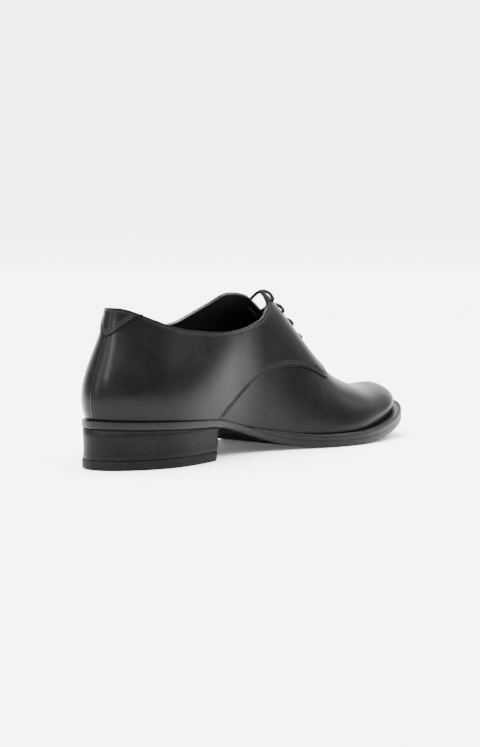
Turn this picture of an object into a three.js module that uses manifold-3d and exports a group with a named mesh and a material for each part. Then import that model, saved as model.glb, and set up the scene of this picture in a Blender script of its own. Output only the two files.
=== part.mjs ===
// Derby shoe for the left foot. Millimetres, +X to the toe, +Y to the outer side, +Z up.
// The origin is the middle of the heel's foot, on the floor.
import * as THREE from 'three';
import { mergeVertices } from 'three/addons/utils/BufferGeometryUtils.js';
import Module from 'manifold-3d';

const wasm = await Module();
wasm.setup();

// Sole and heel
const SOLE_LENGTH = 300;
const BALL_WIDTH = 101.6;
const HEEL_WIDTH = 67.4;
const SOLE_THICKNESS = 5;
const WELT_THICKNESS = 3.5;
const WELT_TOE_LOSS = 1;
const WELT_SEAT = 7;
const HEEL_HEIGHT = 26.5;
const HEEL_SLOPE = 0.045;
const HEEL_LENGTH = 90;
const LIFT_THICKNESS = 6;
const HEEL_INSET = 0.6;
const CORNER_CUT = 9;
const TOE_SPRING = 17;
const EDGE_BEVEL = 1.2;
const WAIST_BEVEL = 4;

// Where the sole's profile changes, as shares of its length
const ARCH_START = 0.235;
const BALL_START = 0.675;
const SPRING_START = 0.71;
const WAIST_START = 0.3;
const WAIST_END = 0.62;
const WELT_RISE_START = 0.36;
const WELT_START = 0.43;
const WELT_FULL = 0.58;
const WELT_THINS = 0.72;

// Upper
const LAST_BACK = 3;
const LAST_TOE = 6;
const INSTEP_RISE = 100;
const WALL = 1.6;
const QUARTER_STEP = 1;
const HEEL_TAB_THICKNESS = 0.8;
const THROAT_GAP = 12.6;
const TONGUE_THICKNESS = 1.6;
const TONGUE_WIDTH = 38;
const INSOLE_THICKNESS = 3;
const GAP = 0.3;

// Lacing
const LACE_DIAMETER = 2.4;
const LACE_ROWS = 4;
const LACE_TOP = 6;
const LACE_PITCH = 14.4;
const EYELET_DIAMETER = 3.6;
const EYELET_INSET = 6.5;

// Fineness of the meshes
const STATIONS = 44;
const RIB_STEPS = 9;
const HEEL_STEPS = 14;
const WELT_STEPS = 26;
const INSOLE_STEPS = 30;
const TONGUE_STEPS = 12;

// Offsets from the last's own form: the vamp lies inside it and the quarters outside
const VAMP_OFFSET = -0.4 * QUARTER_STEP;
const QUARTER_OFFSET = VAMP_OFFSET + QUARTER_STEP;
const INNER_OFFSET = VAMP_OFFSET - WALL;

// Outline of the sole and of the last's feather edge.
// at: share of the length; centre: share of the ball width, + outwards;
// sole, feather: half widths as shares of the local width.
const OUTLINE = [
  // at, centre, sole, feather
  [0.000, 0.025, 0.000, 0.000],
  [0.030, 0.023, 0.257, 0.237],
  [0.080, 0.020, 0.408, 0.380],
  [0.150, 0.016, 0.500, 0.463],
  [0.250, 0.022, 0.493, 0.472],
  [0.350, 0.052, 0.446, 0.428],
  [0.450, 0.075, 0.381, 0.357],
  [0.550, 0.075, 0.395, 0.359],
  [0.630, 0.044, 0.468, 0.413],
  [0.700, 0.014, 0.500, 0.441],
  [0.780, -0.012, 0.485, 0.427],
  [0.860, -0.040, 0.418, 0.363],
  [0.920, -0.063, 0.338, 0.290],
  [0.965, -0.080, 0.235, 0.197],
  [0.990, -0.089, 0.131, 0.111],
  [1.000, -0.092, 0.000, 0.000],
];

// Ribs of the last, each from the feather edge up to the ridge or the cone's rim.
// at: share of the last's length; bulge, topHalf, shift, cover: shares of the ball width;
// wall, rise, drop: shares of the instep rise; lean: share of the last's length.
const RIBS = [
  // at, bulge, wall, topHalf, lean, shift, rise, cover, drop
  [0.00, 0.092, 0.252, 0.000, 0.057, 0.025, 0.756, 0.028, 0.310],
  [0.02, 0.094, 0.254, 0.079, 0.054, 0.024, 0.752, 0.043, 0.311],
  [0.08, 0.081, 0.252, 0.162, 0.040, 0.020, 0.753, 0.036, 0.311],
  [0.16, 0.066, 0.251, 0.205, 0.021, 0.010, 0.764, 0.041, 0.301],
  [0.25, 0.049, 0.250, 0.197, 0.010, 0.000, 0.786, 0.089, 0.260],
  [0.33, 0.040, 0.250, 0.148, 0.000, 0.000, 0.844, 0.157, 0.180],
  [0.40, 0.030, 0.250, 0.069, 0.000, -0.010, 0.932, 0.196, 0.060],
  [0.48, 0.025, 0.250, 0.000, 0.000, -0.022, 0.995, 0.187, 0.000],
  [0.56, 0.019, 0.228, 0.000, 0.000, -0.031, 0.941, 0.184, 0.000],
  [0.64, 0.019, 0.200, 0.000, 0.000, -0.041, 0.736, 0.197, 0.000],
  [0.72, 0.019, 0.167, 0.000, 0.000, -0.040, 0.492, 0.233, 0.000],
  [0.80, 0.026, 0.149, 0.000, 0.000, -0.049, 0.341, 0.266, 0.000],
  [0.88, 0.041, 0.128, 0.000, -0.007, -0.066, 0.250, 0.241, 0.000],
  [0.94, 0.062, 0.104, 0.000, -0.020, -0.080, 0.211, 0.204, 0.000],
  [0.98, 0.062, 0.071, 0.000, -0.039, -0.082, 0.180, 0.145, 0.000],
  [1.00, 0.050, 0.063, 0.000, -0.050, -0.084, 0.159, 0.105, 0.000],
];
const CONE_END = 0.48;

// Lines seen from the side. along: share of the sole's length;
// rise: height over the feather line as a share of the instep rise.
const INNER_TOPLINE = [
  // along, rise
  [-0.050, 0.717], [0.040, 0.717], [0.063, 0.721], [0.080, 0.710], [0.102, 0.683], [0.152, 0.625],
  [0.200, 0.590], [0.243, 0.581], [0.290, 0.577], [0.345, 0.601], [0.410, 0.659],
  [0.457, 0.717], [0.487, 0.764], [0.507, 0.820], [0.523, 0.866], [0.530, 0.923], [0.532, 1.000],
];
const OUTER_TOPLINE = [
  // along, rise
  [-0.050, 0.717], [0.040, 0.717], [0.063, 0.721], [0.080, 0.710], [0.103, 0.681], [0.153, 0.619],
  [0.200, 0.587], [0.243, 0.578], [0.283, 0.585], [0.327, 0.618], [0.357, 0.653],
  [0.385, 0.713], [0.413, 0.780], [0.438, 0.844], [0.460, 0.906], [0.480, 0.930],
  [0.507, 0.936], [0.521, 0.945], [0.532, 1.000],
];
const QUARTER_FRONT = [
  // along, rise
  [0.285, -0.100], [0.307, -0.029], [0.330, 0.038], [0.356, 0.101], [0.385, 0.177],
  [0.414, 0.250], [0.443, 0.319], [0.482, 0.385], [0.520, 0.433], [0.555, 0.462],
  [0.599, 0.465], [0.633, 0.433], [0.661, 0.396], [0.674, 0.383],
];
const FACING_FOOT = [
  // along, rise
  [0.677, 0.388], [0.685, 0.419], [0.694, 0.466], [0.703, 0.549],
];
const HEEL_TAB_EDGE = [
  // along, rise
  [-0.030, 0.500], [0.030, 0.512], [0.046, 0.535], [0.054, 0.576], [0.068, 0.614],
  [0.086, 0.654], [0.105, 0.693],
];

// Throat between the facings, seen from above. along: share of the sole's length;
// centre: share of the ball width; gap: share of the throat gap.
const THROAT = [
  // along, centre, gap
  [0.480, 0.003, 1.00], [0.540, 0.003, 1.00], [0.583, 0.000, 0.93], [0.627, -0.012, 0.72],
  [0.665, -0.028, 0.45], [0.692, -0.038, 0.24], [0.699, -0.041, 0.10],
];

// Tongue, from its free end to its root. at: share of the last's length;
// width: share of the tongue's width; room: share of the room that the lace needs.
const TONGUE = [
  // at, width, room
  [0.578, 0.62, 1.00], [0.583, 0.82, 1.00], [0.592, 0.95, 1.00], [0.605, 1.00, 1.00],
  [0.630, 1.00, 1.00], [0.655, 0.99, 1.00], [0.680, 0.98, 0.90], [0.705, 0.96, 0.50],
  [0.730, 0.94, 0.10], [0.755, 0.92, 0.00],
];
const TONGUE_SHIFT = 0.03;

// Curves

function clamp(value, low, high) {
  return Math.min(Math.max(value, low), high);
}

// Smooth step from 0 at start to 1 at end.
function ramp(value, start, end) {
  const t = clamp((value - start) / (end - start), 0, 1);
  return t * t * t * (t * (6 * t - 15) + 10);
}

// The station of a share of the length: 0 at the back, 1 at the toe, dense at both ends.
function stationOf(share) {
  return Math.acos(1 - 2 * clamp(share, 0, 1)) / Math.PI;
}

function shareOf(station) {
  return (1 - Math.cos(Math.PI * station)) / 2;
}

// Cubic spline through a table's column, with level or with free ends.
function spline(xs, ys, level) {
  const n = xs.length;
  const lower = new Array(n).fill(0);
  const middle = new Array(n).fill(1);
  const upper = new Array(n).fill(0);
  const right = new Array(n).fill(0);
  for (let i = 1; i < n - 1; i += 1) {
    const before = xs[i] - xs[i - 1];
    const after = xs[i + 1] - xs[i];
    lower[i] = before;
    middle[i] = 2 * (before + after);
    upper[i] = after;
    right[i] = 6 * ((ys[i + 1] - ys[i]) / after - (ys[i] - ys[i - 1]) / before);
  }
  if (level) {
    const first = xs[1] - xs[0];
    const last = xs[n - 1] - xs[n - 2];
    middle[0] = 2 * first;
    upper[0] = first;
    right[0] = (6 * (ys[1] - ys[0])) / first;
    middle[n - 1] = 2 * last;
    lower[n - 1] = last;
    right[n - 1] = (-6 * (ys[n - 1] - ys[n - 2])) / last;
  }
  for (let i = 1; i < n; i += 1) {
    const share = lower[i] / middle[i - 1];
    middle[i] -= share * upper[i - 1];
    right[i] -= share * right[i - 1];
  }
  const bend = new Array(n).fill(0);
  bend[n - 1] = right[n - 1] / middle[n - 1];
  for (let i = n - 2; i >= 0; i -= 1) {
    bend[i] = (right[i] - upper[i] * bend[i + 1]) / middle[i];
  }
  return (x) => {
    let i = 0;
    while (i < n - 2 && x > xs[i + 1]) {
      i += 1;
    }
    const h = xs[i + 1] - xs[i];
    const a = (xs[i + 1] - x) / h;
    const b = (x - xs[i]) / h;
    const cubic = ((a * a * a - a) * bend[i] + (b * b * b - b) * bend[i + 1]) * h * h;
    return a * ys[i] + b * ys[i + 1] + cubic / 6;
  };
}

function column(table, index, level) {
  const stations = table.map((row) => stationOf(row[0]));
  return spline(stations, table.map((row) => row[index]), level);
}

// Straight reading of a table whose first column grows.
function reading(table, index, at) {
  let i = 0;
  while (i < table.length - 2 && at > table[i + 1][0]) {
    i += 1;
  }
  const share = clamp((at - table[i][0]) / (table[i + 1][0] - table[i][0]), 0, 1);
  return THREE.MathUtils.lerp(table[i][index], table[i + 1][index], share);
}

// Sole: outline and profile

const centreShare = column(OUTLINE, 1, true);
const soleShare = column(OUTLINE, 2, false);
const featherShare = column(OUTLINE, 3, false);

function localWidth(share) {
  return THREE.MathUtils.lerp(HEEL_WIDTH, BALL_WIDTH, ramp(share, 0.3, 0.6));
}

function centreLine(x) {
  return BALL_WIDTH * centreShare(stationOf(x / SOLE_LENGTH));
}

function soleHalf(station) {
  return Math.max(soleShare(station), 0) * localWidth(shareOf(station));
}

function featherHalf(station) {
  return Math.max(featherShare(station), 0) * localWidth(shareOf(station));
}

// Underside of the sole: heel seat, arch, flat tread and toe spring.
function treadHeight(x) {
  const share = clamp(x / SOLE_LENGTH, 0, 1);
  const seat = HEEL_HEIGHT - HEEL_SLOPE * x;
  const arch = 1 - ramp(share, ARCH_START, BALL_START);
  const toe = Math.max((share - SPRING_START) / (1 - SPRING_START), 0);
  return seat * arch + TOE_SPRING * toe * toe;
}

// Height between the sole's top and the feather edge, for the welt and its gaps.
function weltRoom(x) {
  const share = x / SOLE_LENGTH;
  const full = WELT_THICKNESS - WELT_TOE_LOSS * ramp(share, WELT_THINS, 1);
  return GAP + (GAP + full) * ramp(share, WELT_RISE_START, WELT_FULL);
}

function soleTop(x) {
  return treadHeight(x) + SOLE_THICKNESS;
}

function featherHeight(x) {
  return soleTop(x) + weltRoom(x);
}

// Point of the sole's outline; side is -1 inside and +1 outside.
function solePoint(station, side) {
  const x = SOLE_LENGTH * shareOf(station);
  return new THREE.Vector2(x, centreLine(x) + side * soleHalf(station));
}

function featherPoint(station, side) {
  const x = THREE.MathUtils.lerp(LAST_BACK, SOLE_LENGTH - LAST_TOE, shareOf(station));
  return new THREE.Vector2(x, centreLine(x) + side * featherHalf(station));
}

// Outward normal in the plan of an outline at a station.
function planNormal(outline, station, side) {
  if (station <= 0 || station >= 1) {
    return new THREE.Vector2(station <= 0 ? -1 : 1, 0);
  }
  const step = 1e-3;
  const before = outline(Math.max(station - step, 0), side);
  const after = outline(Math.min(station + step, 1), side);
  const along = after.sub(before).normalize();
  return new THREE.Vector2(-along.y * side, along.x * side);
}

// Last: the form that the upper takes

const ribColumns = {
  bulge: column(RIBS, 1, true),
  wall: column(RIBS, 2, true),
  topHalf: column(RIBS, 3, false),
  lean: column(RIBS, 4, true),
  shift: column(RIBS, 5, true),
  rise: column(RIBS, 6, true),
  cover: column(RIBS, 7, true),
  drop: column(RIBS, 8, true),
};
const LAST_LENGTH = SOLE_LENGTH - LAST_TOE - LAST_BACK;

function ribHandles(station, side) {
  const share = shareOf(station);
  const open = share < CONE_END;
  const foot = featherPoint(station, side);
  const out = planNormal(featherPoint, station, side);
  const ground = featherHeight(foot.x);
  const bulge = BALL_WIDTH * ribColumns.bulge(station);
  const wall = INSTEP_RISE * ribColumns.wall(station);
  const topHalf = open ? BALL_WIDTH * Math.max(ribColumns.topHalf(station), 0) : 0;
  const drop = open ? INSTEP_RISE * ribColumns.drop(station) : 0;
  const cover = BALL_WIDTH * ribColumns.cover(station);
  const top = new THREE.Vector3(
    foot.x + LAST_LENGTH * ribColumns.lean(station),
    BALL_WIDTH * ribColumns.shift(station) + side * topHalf,
    ground + INSTEP_RISE * ribColumns.rise(station),
  );
  const turn = 1 - ramp(share, 0.25, 0.42) + ramp(share, 0.82, 0.97);
  const aside = new THREE.Vector2(out.x * turn, out.y).normalize();
  return [
    new THREE.Vector3(foot.x, foot.y, ground),
    new THREE.Vector3(foot.x + out.x * bulge, foot.y + out.y * bulge, ground + wall),
    new THREE.Vector3(top.x + aside.x * cover, top.y + aside.y * cover, top.z - drop),
    top,
  ];
}

// Point of the bare last: v runs from the feather edge, 0, to the ridge or rim, 1.
function lastPoint(station, v, side) {
  const handles = ribHandles(station, side);
  const w = 1 - v;
  const weights = [w * w * w, 3 * w * w * v, 3 * w * v * v, v * v * v];
  const point = new THREE.Vector3();
  handles.forEach((handle, i) => point.addScaledVector(handle, weights[i]));
  return point;
}

// Outward normal of the last. Along the feather edge it lies level.
function lastNormal(station, v, side) {
  const step = 2e-3;
  const near = Math.max(station - step, 0);
  const far = Math.min(station + step, 1);
  const low = Math.max(v - step, 0);
  const high = Math.min(v + step, 1);
  const along = lastPoint(far, v, side).sub(lastPoint(near, v, side));
  const up = lastPoint(station, high, side).sub(lastPoint(station, low, side));
  const normal = along.cross(up).multiplyScalar(-side);
  normal.z *= ramp(v, 0, 0.15);
  return normal.normalize();
}

// Point of the form that lies an offset outside the last. Both sides agree on the seams.
function formPoint(station, v, side, offset) {
  const normal = lastNormal(station, v, side);
  const ridge = v === 1 && shareOf(station) >= CONE_END;
  if (ridge || station <= 0 || station >= 1) {
    normal.add(lastNormal(station, v, -side)).normalize();
  }
  return lastPoint(station, v, side).addScaledVector(normal, offset);
}

// Solids from loops and grids

function vectorsToGeometry(points, faces) {
  const positions = [];
  points.forEach((point) => positions.push(point.x, point.y, point.z));
  const geometry = new THREE.BufferGeometry();
  geometry.setAttribute('position', new THREE.Float32BufferAttribute(positions, 3));
  geometry.setIndex(faces);
  return geometry;
}

// One closed mesh with shared vertices, no flat triangles and its faces outwards.
function closedGeometry(source) {
  const bare = source.clone();
  bare.deleteAttribute('normal');
  bare.deleteAttribute('uv');
  const merged = mergeVertices(bare, 1e-4);
  const index = merged.index.array;
  const faces = [];
  for (let i = 0; i < index.length; i += 3) {
    const [a, b, c] = [index[i], index[i + 1], index[i + 2]];
    if (a !== b && b !== c && c !== a) {
      faces.push([a, b, c]);
    }
  }
  const corner = (i) => new THREE.Vector3().fromBufferAttribute(merged.attributes.position, i);
  let volume = 0;
  faces.forEach(([a, b, c]) => {
    volume += corner(a).dot(corner(b).cross(corner(c)));
  });
  const turned = volume < 0 ? faces.map(([a, b, c]) => [a, c, b]) : faces;
  merged.setIndex(turned.flat());
  return merged;
}

function solidOf(source) {
  const geometry = closedGeometry(source);
  return new wasm.Manifold(new wasm.Mesh({
    numProp: 3,
    vertProperties: new Float32Array(geometry.attributes.position.array),
    triVerts: new Uint32Array(geometry.index.array),
  }));
}

function geometryOf(solid) {
  const mesh = solid.getMesh();
  const geometry = new THREE.BufferGeometry();
  geometry.setAttribute('position', new THREE.Float32BufferAttribute(mesh.vertProperties, 3));
  geometry.setIndex(Array.from(mesh.triVerts));
  return geometry;
}

// Faces over a loop of points: a fan from its first point, or a strip across it.
function capFaces(first, count, kind) {
  const faces = [];
  if (kind === 'fan') {
    for (let j = 1; j < count - 1; j += 1) {
      faces.push(first, first + j, first + j + 1);
    }
  }
  if (kind === 'strip') {
    for (let j = 0; j < count / 2 - 1; j += 1) {
      const a = first + j;
      const c = first + count - 1 - j;
      faces.push(a, a + 1, c - 1, a, c - 1, c);
    }
  }
  return faces;
}

// Skin over loops of equal length, closed around each loop. Loops with an area get a cap.
function loftGeometry(loops, cap) {
  const count = loops[0].length;
  const end = (loops.length - 1) * count;
  const faces = [...capFaces(end, count, cap), ...capFaces(0, count, cap).reverse()];
  for (let i = 0; i < end; i += count) {
    for (let j = 0; j < count; j += 1) {
      const a = i + j;
      const b = i + ((j + 1) % count);
      faces.push(a, b, b + count, a, b + count, a + count);
    }
  }
  return vectorsToGeometry(loops.flat(), faces);
}

// Body of the whole last at an offset; skirt lengthens it below the feather line.
function formBody(offset, skirt) {
  const loops = [];
  for (let i = 0; i <= STATIONS; i += 1) {
    const station = i / STATIONS;
    const sides = [-1, 1].map((side) => {
      const rib = [];
      for (let j = 0; j <= RIB_STEPS; j += 1) {
        rib.push(formPoint(station, j / RIB_STEPS, side, offset));
      }
      if (skirt > 0) {
        rib.unshift(rib[0].clone().setZ(rib[0].z - skirt));
      }
      return rib;
    });
    loops.push([...sides[0], ...sides[1].reverse()]);
  }
  return solidOf(loftGeometry(loops));
}

// Prism seen from the side, through outline points [x, z], from one y to another.
function sidePrism(outline, from, to) {
  const shape = new THREE.Shape(outline.map(([x, z]) => new THREE.Vector2(x, z)));
  const prism = new THREE.ExtrudeGeometry(shape, { depth: to - from, bevelEnabled: false });
  prism.rotateX(Math.PI / 2);
  prism.translate(0, to, 0);
  return solidOf(prism);
}

// Smooth side line through a table of shares, as points [x, z].
function sideLine(table, steps) {
  const points = table.map(([along, rise]) => {
    const x = along * SOLE_LENGTH;
    return new THREE.Vector2(x, featherHeight(Math.max(x, 0)) + rise * INSTEP_RISE);
  });
  return new THREE.SplineCurve(points).getPoints(steps).map((point) => [point.x, point.y]);
}

// Height and half width of the cutters, clear of the shoe.
const CUT_HEIGHT = 2 * INSTEP_RISE;
const CUT_HALF_WIDTH = BALL_WIDTH;

// Heel

function edgePoint(station, side, inset) {
  const out = planNormal(solePoint, station, side);
  return solePoint(station, side).addScaledVector(out, -inset);
}

// Outline at a height, from the outer breast corner around the back to the cut inner corner.
function heelOutline(height, inset) {
  const points = [];
  const cut = CORNER_CUT * (1 - ramp(height, 0, 1.5 * CORNER_CUT));
  const breast = HEEL_LENGTH - inset;
  const last = stationOf(breast / SOLE_LENGTH);
  const cutStation = stationOf((breast - cut) / SOLE_LENGTH);
  for (let i = HEEL_STEPS; i >= 0; i -= 1) {
    points.push(edgePoint(last * (i / HEEL_STEPS), 1, inset));
  }
  for (let i = 1; i < HEEL_STEPS; i += 1) {
    points.push(edgePoint(Math.min(last * (i / HEEL_STEPS), cutStation), -1, inset));
  }
  const corner = edgePoint(cutStation, -1, inset);
  points.push(corner);
  points.push(new THREE.Vector2(breast - 0.25 * cut, corner.y + 0.3 * cut));
  points.push(new THREE.Vector2(breast, corner.y + 1.2 * cut + HEEL_INSET));
  return points;
}

// Solid through outlines at rising heights; one marked top follows the sole's underside.
function heelLayer(levels) {
  const loops = levels.map(({ height, inset, top }) => heelOutline(height, inset).map((point) => {
    const z = top ? treadHeight(Math.max(point.x, 0)) - GAP : height;
    return new THREE.Vector3(point.x, point.y, z);
  }));
  return closedGeometry(loftGeometry(loops, 'fan'));
}

function topLift() {
  return heelLayer([
    { height: 0, inset: HEEL_INSET },
    { height: 0.5 * HEEL_INSET, inset: 0 },
    { height: LIFT_THICKNESS / 2, inset: 0 },
    { height: LIFT_THICKNESS, inset: 0 },
  ]);
}

function heelStack() {
  return heelLayer([
    { height: LIFT_THICKNESS + GAP, inset: HEEL_INSET },
    { height: LIFT_THICKNESS + 0.3 * (HEEL_HEIGHT - LIFT_THICKNESS), inset: HEEL_INSET },
    { height: HEEL_HEIGHT - SOLE_THICKNESS, inset: HEEL_INSET },
    { height: HEEL_HEIGHT, inset: HEEL_INSET, top: true },
  ]);
}

// Sole and insole

// Each section of the sole has a tread, two bevels, two upright edges and a top.
function outsole() {
  const loops = [];
  for (let i = 0; i <= STATIONS; i += 1) {
    const station = i / STATIONS;
    const share = shareOf(station);
    const waist = ramp(share, WAIST_START, WAIST_START + 0.1) - ramp(share, 0.5, WAIST_END);
    const bevel = THREE.MathUtils.lerp(EDGE_BEVEL, WAIST_BEVEL, waist);
    const half = soleHalf(station);
    const foot = Math.max(half - bevel, 0.75 * half);
    const shoulder = 0.3 * SOLE_THICKNESS + 0.4 * bevel * waist;
    const x = SOLE_LENGTH * share;
    const ring = [
      [-half, SOLE_THICKNESS], [-half, shoulder], [-foot, 0],
      [foot, 0], [half, shoulder], [half, SOLE_THICKNESS],
    ];
    const tread = treadHeight(x);
    loops.push(ring.map(([y, z]) => new THREE.Vector3(x, centreLine(x) + y, tread + z)));
  }
  return closedGeometry(loftGeometry(loops));
}

// Welt: a horseshoe from the inner waist around the toe to the outer waist.
function welt() {
  const first = stationOf(WELT_START);
  const loops = [];
  for (let i = -WELT_STEPS; i <= WELT_STEPS; i += 1) {
    const side = i < 0 ? -1 : 1;
    const station = THREE.MathUtils.lerp(1, first, Math.abs(i) / WELT_STEPS);
    const outer = solePoint(station, side);
    const normal = planNormal(featherPoint, station, side);
    const inner = featherPoint(station, side).addScaledVector(normal, -WELT_SEAT);
    const low = [outer, inner].map((p) => new THREE.Vector3(p.x, p.y, soleTop(p.x) + GAP));
    const high = low.map((p) => p.clone().setZ(featherHeight(p.x) - GAP));
    loops.push([low[0], high[0], high[1], low[1]]);
  }
  return closedGeometry(loftGeometry(loops, 'fan'));
}

function insole() {
  const inset = -INNER_OFFSET + GAP;
  const loops = [];
  for (let i = 0; i <= INSOLE_STEPS; i += 1) {
    const station = i / INSOLE_STEPS;
    const pair = [-1, 1].map((side) => {
      const normal = planNormal(featherPoint, station, side);
      return featherPoint(station, side).addScaledVector(normal, -inset);
    });
    const low = pair.map((p) => new THREE.Vector3(p.x, p.y, featherHeight(p.x)));
    const high = low.map((p) => p.clone().setZ(p.z + INSOLE_THICKNESS));
    loops.push([low[0], low[1], high[1], high[0]]);
  }
  return closedGeometry(loftGeometry(loops));
}

// Upper

// Region of the quarters seen from the side: all that lies behind their front edge.
function quarterRegion() {
  const edge = [...sideLine(QUARTER_FRONT, 40), ...sideLine(FACING_FOOT, 6)];
  const end = edge[edge.length - 1];
  const low = edge[0][1];
  return sidePrism(
    [...edge, [end[0], CUT_HEIGHT], [-SOLE_LENGTH / 10, CUT_HEIGHT], [-SOLE_LENGTH / 10, low]],
    -CUT_HALF_WIDTH,
    CUT_HALF_WIDTH,
  );
}

// All that lies over the topline, inner and outer side.
function collarCutter() {
  const middle = 0.015 * BALL_WIDTH;
  const overlap = 0.5;
  const cut = (table, from, to) => {
    const line = sideLine(table, 60);
    const top = [[line[line.length - 1][0], CUT_HEIGHT], [line[0][0], CUT_HEIGHT]];
    return sidePrism([...line, ...top], from, to);
  };
  const inner = cut(INNER_TOPLINE, -CUT_HALF_WIDTH, middle);
  return inner.add(cut(OUTER_TOPLINE, middle - overlap, CUT_HALF_WIDTH));
}

function throatCutter() {
  const edge = (side) => THROAT.map(([along, centre, gap]) => new THREE.Vector2(
    along * SOLE_LENGTH,
    centre * BALL_WIDTH + (side * gap * THROAT_GAP) / 2,
  ));
  const shape = new THREE.Shape([...edge(-1), ...edge(1).reverse()]);
  const prism = new THREE.ExtrudeGeometry(shape, { depth: CUT_HEIGHT, bevelEnabled: false });
  prism.translate(0, 0, HEEL_HEIGHT + SOLE_THICKNESS);
  return solidOf(prism);
}

// The v of the point that lies a length of arc below the ridge.
function belowRidge(station, side, length) {
  const steps = 60;
  let walked = 0;
  let previous = lastPoint(station, 1, side);
  for (let i = 1; i <= steps; i += 1) {
    const v = 1 - i / steps;
    const point = lastPoint(station, v, side);
    const step = point.distanceTo(previous);
    if (walked + step >= length) {
      return v + ((walked + step - length) / step) / steps;
    }
    walked += step;
    previous = point;
  }
  return 0;
}

// Point across the ridge at a signed length of arc, + outwards, on an offset form.
function acrossRidge(station, across, offset) {
  const side = across < 0 ? -1 : 1;
  const v = across === 0 ? 1 : belowRidge(station, side, Math.abs(across));
  return formPoint(station, v, side, offset);
}

// Stations of the lace rows, evenly spaced along the ridge below the facings' top.
function laceStations() {
  const stations = [];
  const top = INNER_TOPLINE[INNER_TOPLINE.length - 1][0] * SOLE_LENGTH;
  const first = stationOf((top - LAST_BACK) / LAST_LENGTH);
  let walked = 0;
  let previous = lastPoint(first, 1, 1);
  for (let station = first; stations.length < LACE_ROWS && station < 1; station += 1e-3) {
    const point = lastPoint(station, 1, 1);
    walked += point.distanceTo(previous);
    previous = point;
    if (walked >= LACE_TOP + stations.length * LACE_PITCH) {
      stations.push(station);
    }
  }
  return stations;
}

// Signed arc lengths from the ridge to the eyelets of a row.
function eyeletPlace(station, side) {
  const x = lastPoint(station, 1, 1).x;
  const centre = reading(THROAT, 1, x / SOLE_LENGTH) * BALL_WIDTH;
  const gap = reading(THROAT, 2, x / SOLE_LENGTH) * THROAT_GAP;
  const ridge = BALL_WIDTH * ribColumns.shift(station);
  return centre - ridge + side * (gap / 2 + EYELET_INSET);
}

function eyeletPunch(station, side) {
  const across = eyeletPlace(station, side);
  const inside = acrossRidge(station, across, INNER_OFFSET - 2);
  const outside = acrossRidge(station, across, QUARTER_OFFSET + 2);
  const length = inside.distanceTo(outside);
  const punch = new THREE.CylinderGeometry(EYELET_DIAMETER / 2, EYELET_DIAMETER / 2, length, 8);
  const axis = outside.clone().sub(inside).normalize();
  const turn = new THREE.Quaternion().setFromUnitVectors(new THREE.Vector3(0, 1, 0), axis);
  punch.applyQuaternion(turn);
  const middle = inside.add(outside).multiplyScalar(0.5);
  punch.translate(middle.x, middle.y, middle.z);
  return solidOf(punch);
}

function upper(collar) {
  const quarters = formBody(QUARTER_OFFSET, 0).intersect(quarterRegion());
  let solid = formBody(VAMP_OFFSET, 0).add(quarters);
  solid = solid.subtract(collar);
  solid = solid.subtract(formBody(INNER_OFFSET, SOLE_THICKNESS));
  solid = solid.subtract(throatCutter());
  laceStations().forEach((station) => {
    [-1, 1].forEach((side) => {
      solid = solid.subtract(eyeletPunch(station, side));
    });
  });
  return geometryOf(solid);
}

function heelTab(collar) {
  const inner = QUARTER_OFFSET + GAP;
  const edge = sideLine(HEEL_TAB_EDGE, 20);
  const end = edge[edge.length - 1];
  const outline = [...edge, [end[0], CUT_HEIGHT], [edge[0][0], CUT_HEIGHT]];
  const region = sidePrism(outline, -CUT_HALF_WIDTH, CUT_HALF_WIDTH);
  let solid = formBody(inner + HEEL_TAB_THICKNESS, 0).intersect(region);
  solid = solid.subtract(collar);
  solid = solid.subtract(formBody(inner, 0));
  return geometryOf(solid);
}

// Tongue under the facings, with room for the lace between them.
function tongue() {
  const lace = LACE_DIAMETER + GAP;
  const loops = TONGUE.map(([at, width, room]) => {
    const row = (depth) => {
      const points = [];
      const offset = INNER_OFFSET - GAP - room * lace - depth;
      for (let j = 0; j <= TONGUE_STEPS; j += 1) {
        const aside = (j / TONGUE_STEPS - 0.5) * width * TONGUE_WIDTH;
        const across = TONGUE_SHIFT * BALL_WIDTH + aside;
        points.push(acrossRidge(stationOf(at), across, offset));
      }
      return points;
    };
    return [...row(0), ...row(TONGUE_THICKNESS).reverse()];
  });
  return closedGeometry(loftGeometry(loops, 'strip'));
}

// Lace bar across the throat, over both facings, from eyelet to eyelet.
function laceBar(station) {
  const radius = LACE_DIAMETER / 2;
  const offset = QUARTER_OFFSET + 1.3 * GAP + radius;
  const inner = eyeletPlace(station, -1);
  const outer = eyeletPlace(station, 1);
  const points = [0, 0.2, 0.4, 0.6, 0.8, 1].map((share) => (
    acrossRidge(station, THREE.MathUtils.lerp(inner, outer, share), offset)
  ));
  const section = new THREE.Shape();
  section.absarc(0, 0, radius, 0, 2 * Math.PI, false);
  const bar = new THREE.ExtrudeGeometry(section, {
    steps: 10,
    curveSegments: 4,
    bevelEnabled: false,
    extrudePath: new THREE.CatmullRomCurve3(points),
  });
  return closedGeometry(bar);
}

// The shoe

const FINISHES = {
  calf: { color: 0x1c1c1e, roughness: 0.38, metalness: 0 },
  edge: { color: 0x232324, roughness: 0.45, metalness: 0 },
  rubber: { color: 0x1a1a1b, roughness: 0.7, metalness: 0 },
  board: { color: 0x2a2826, roughness: 0.8, metalness: 0 },
  cord: { color: 0x161617, roughness: 0.75, metalness: 0 },
};

function piece(name, geometry, finish) {
  geometry.computeVertexNormals();
  const mesh = new THREE.Mesh(geometry, new THREE.MeshStandardMaterial(FINISHES[finish]));
  mesh.name = name;
  return mesh;
}

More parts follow.
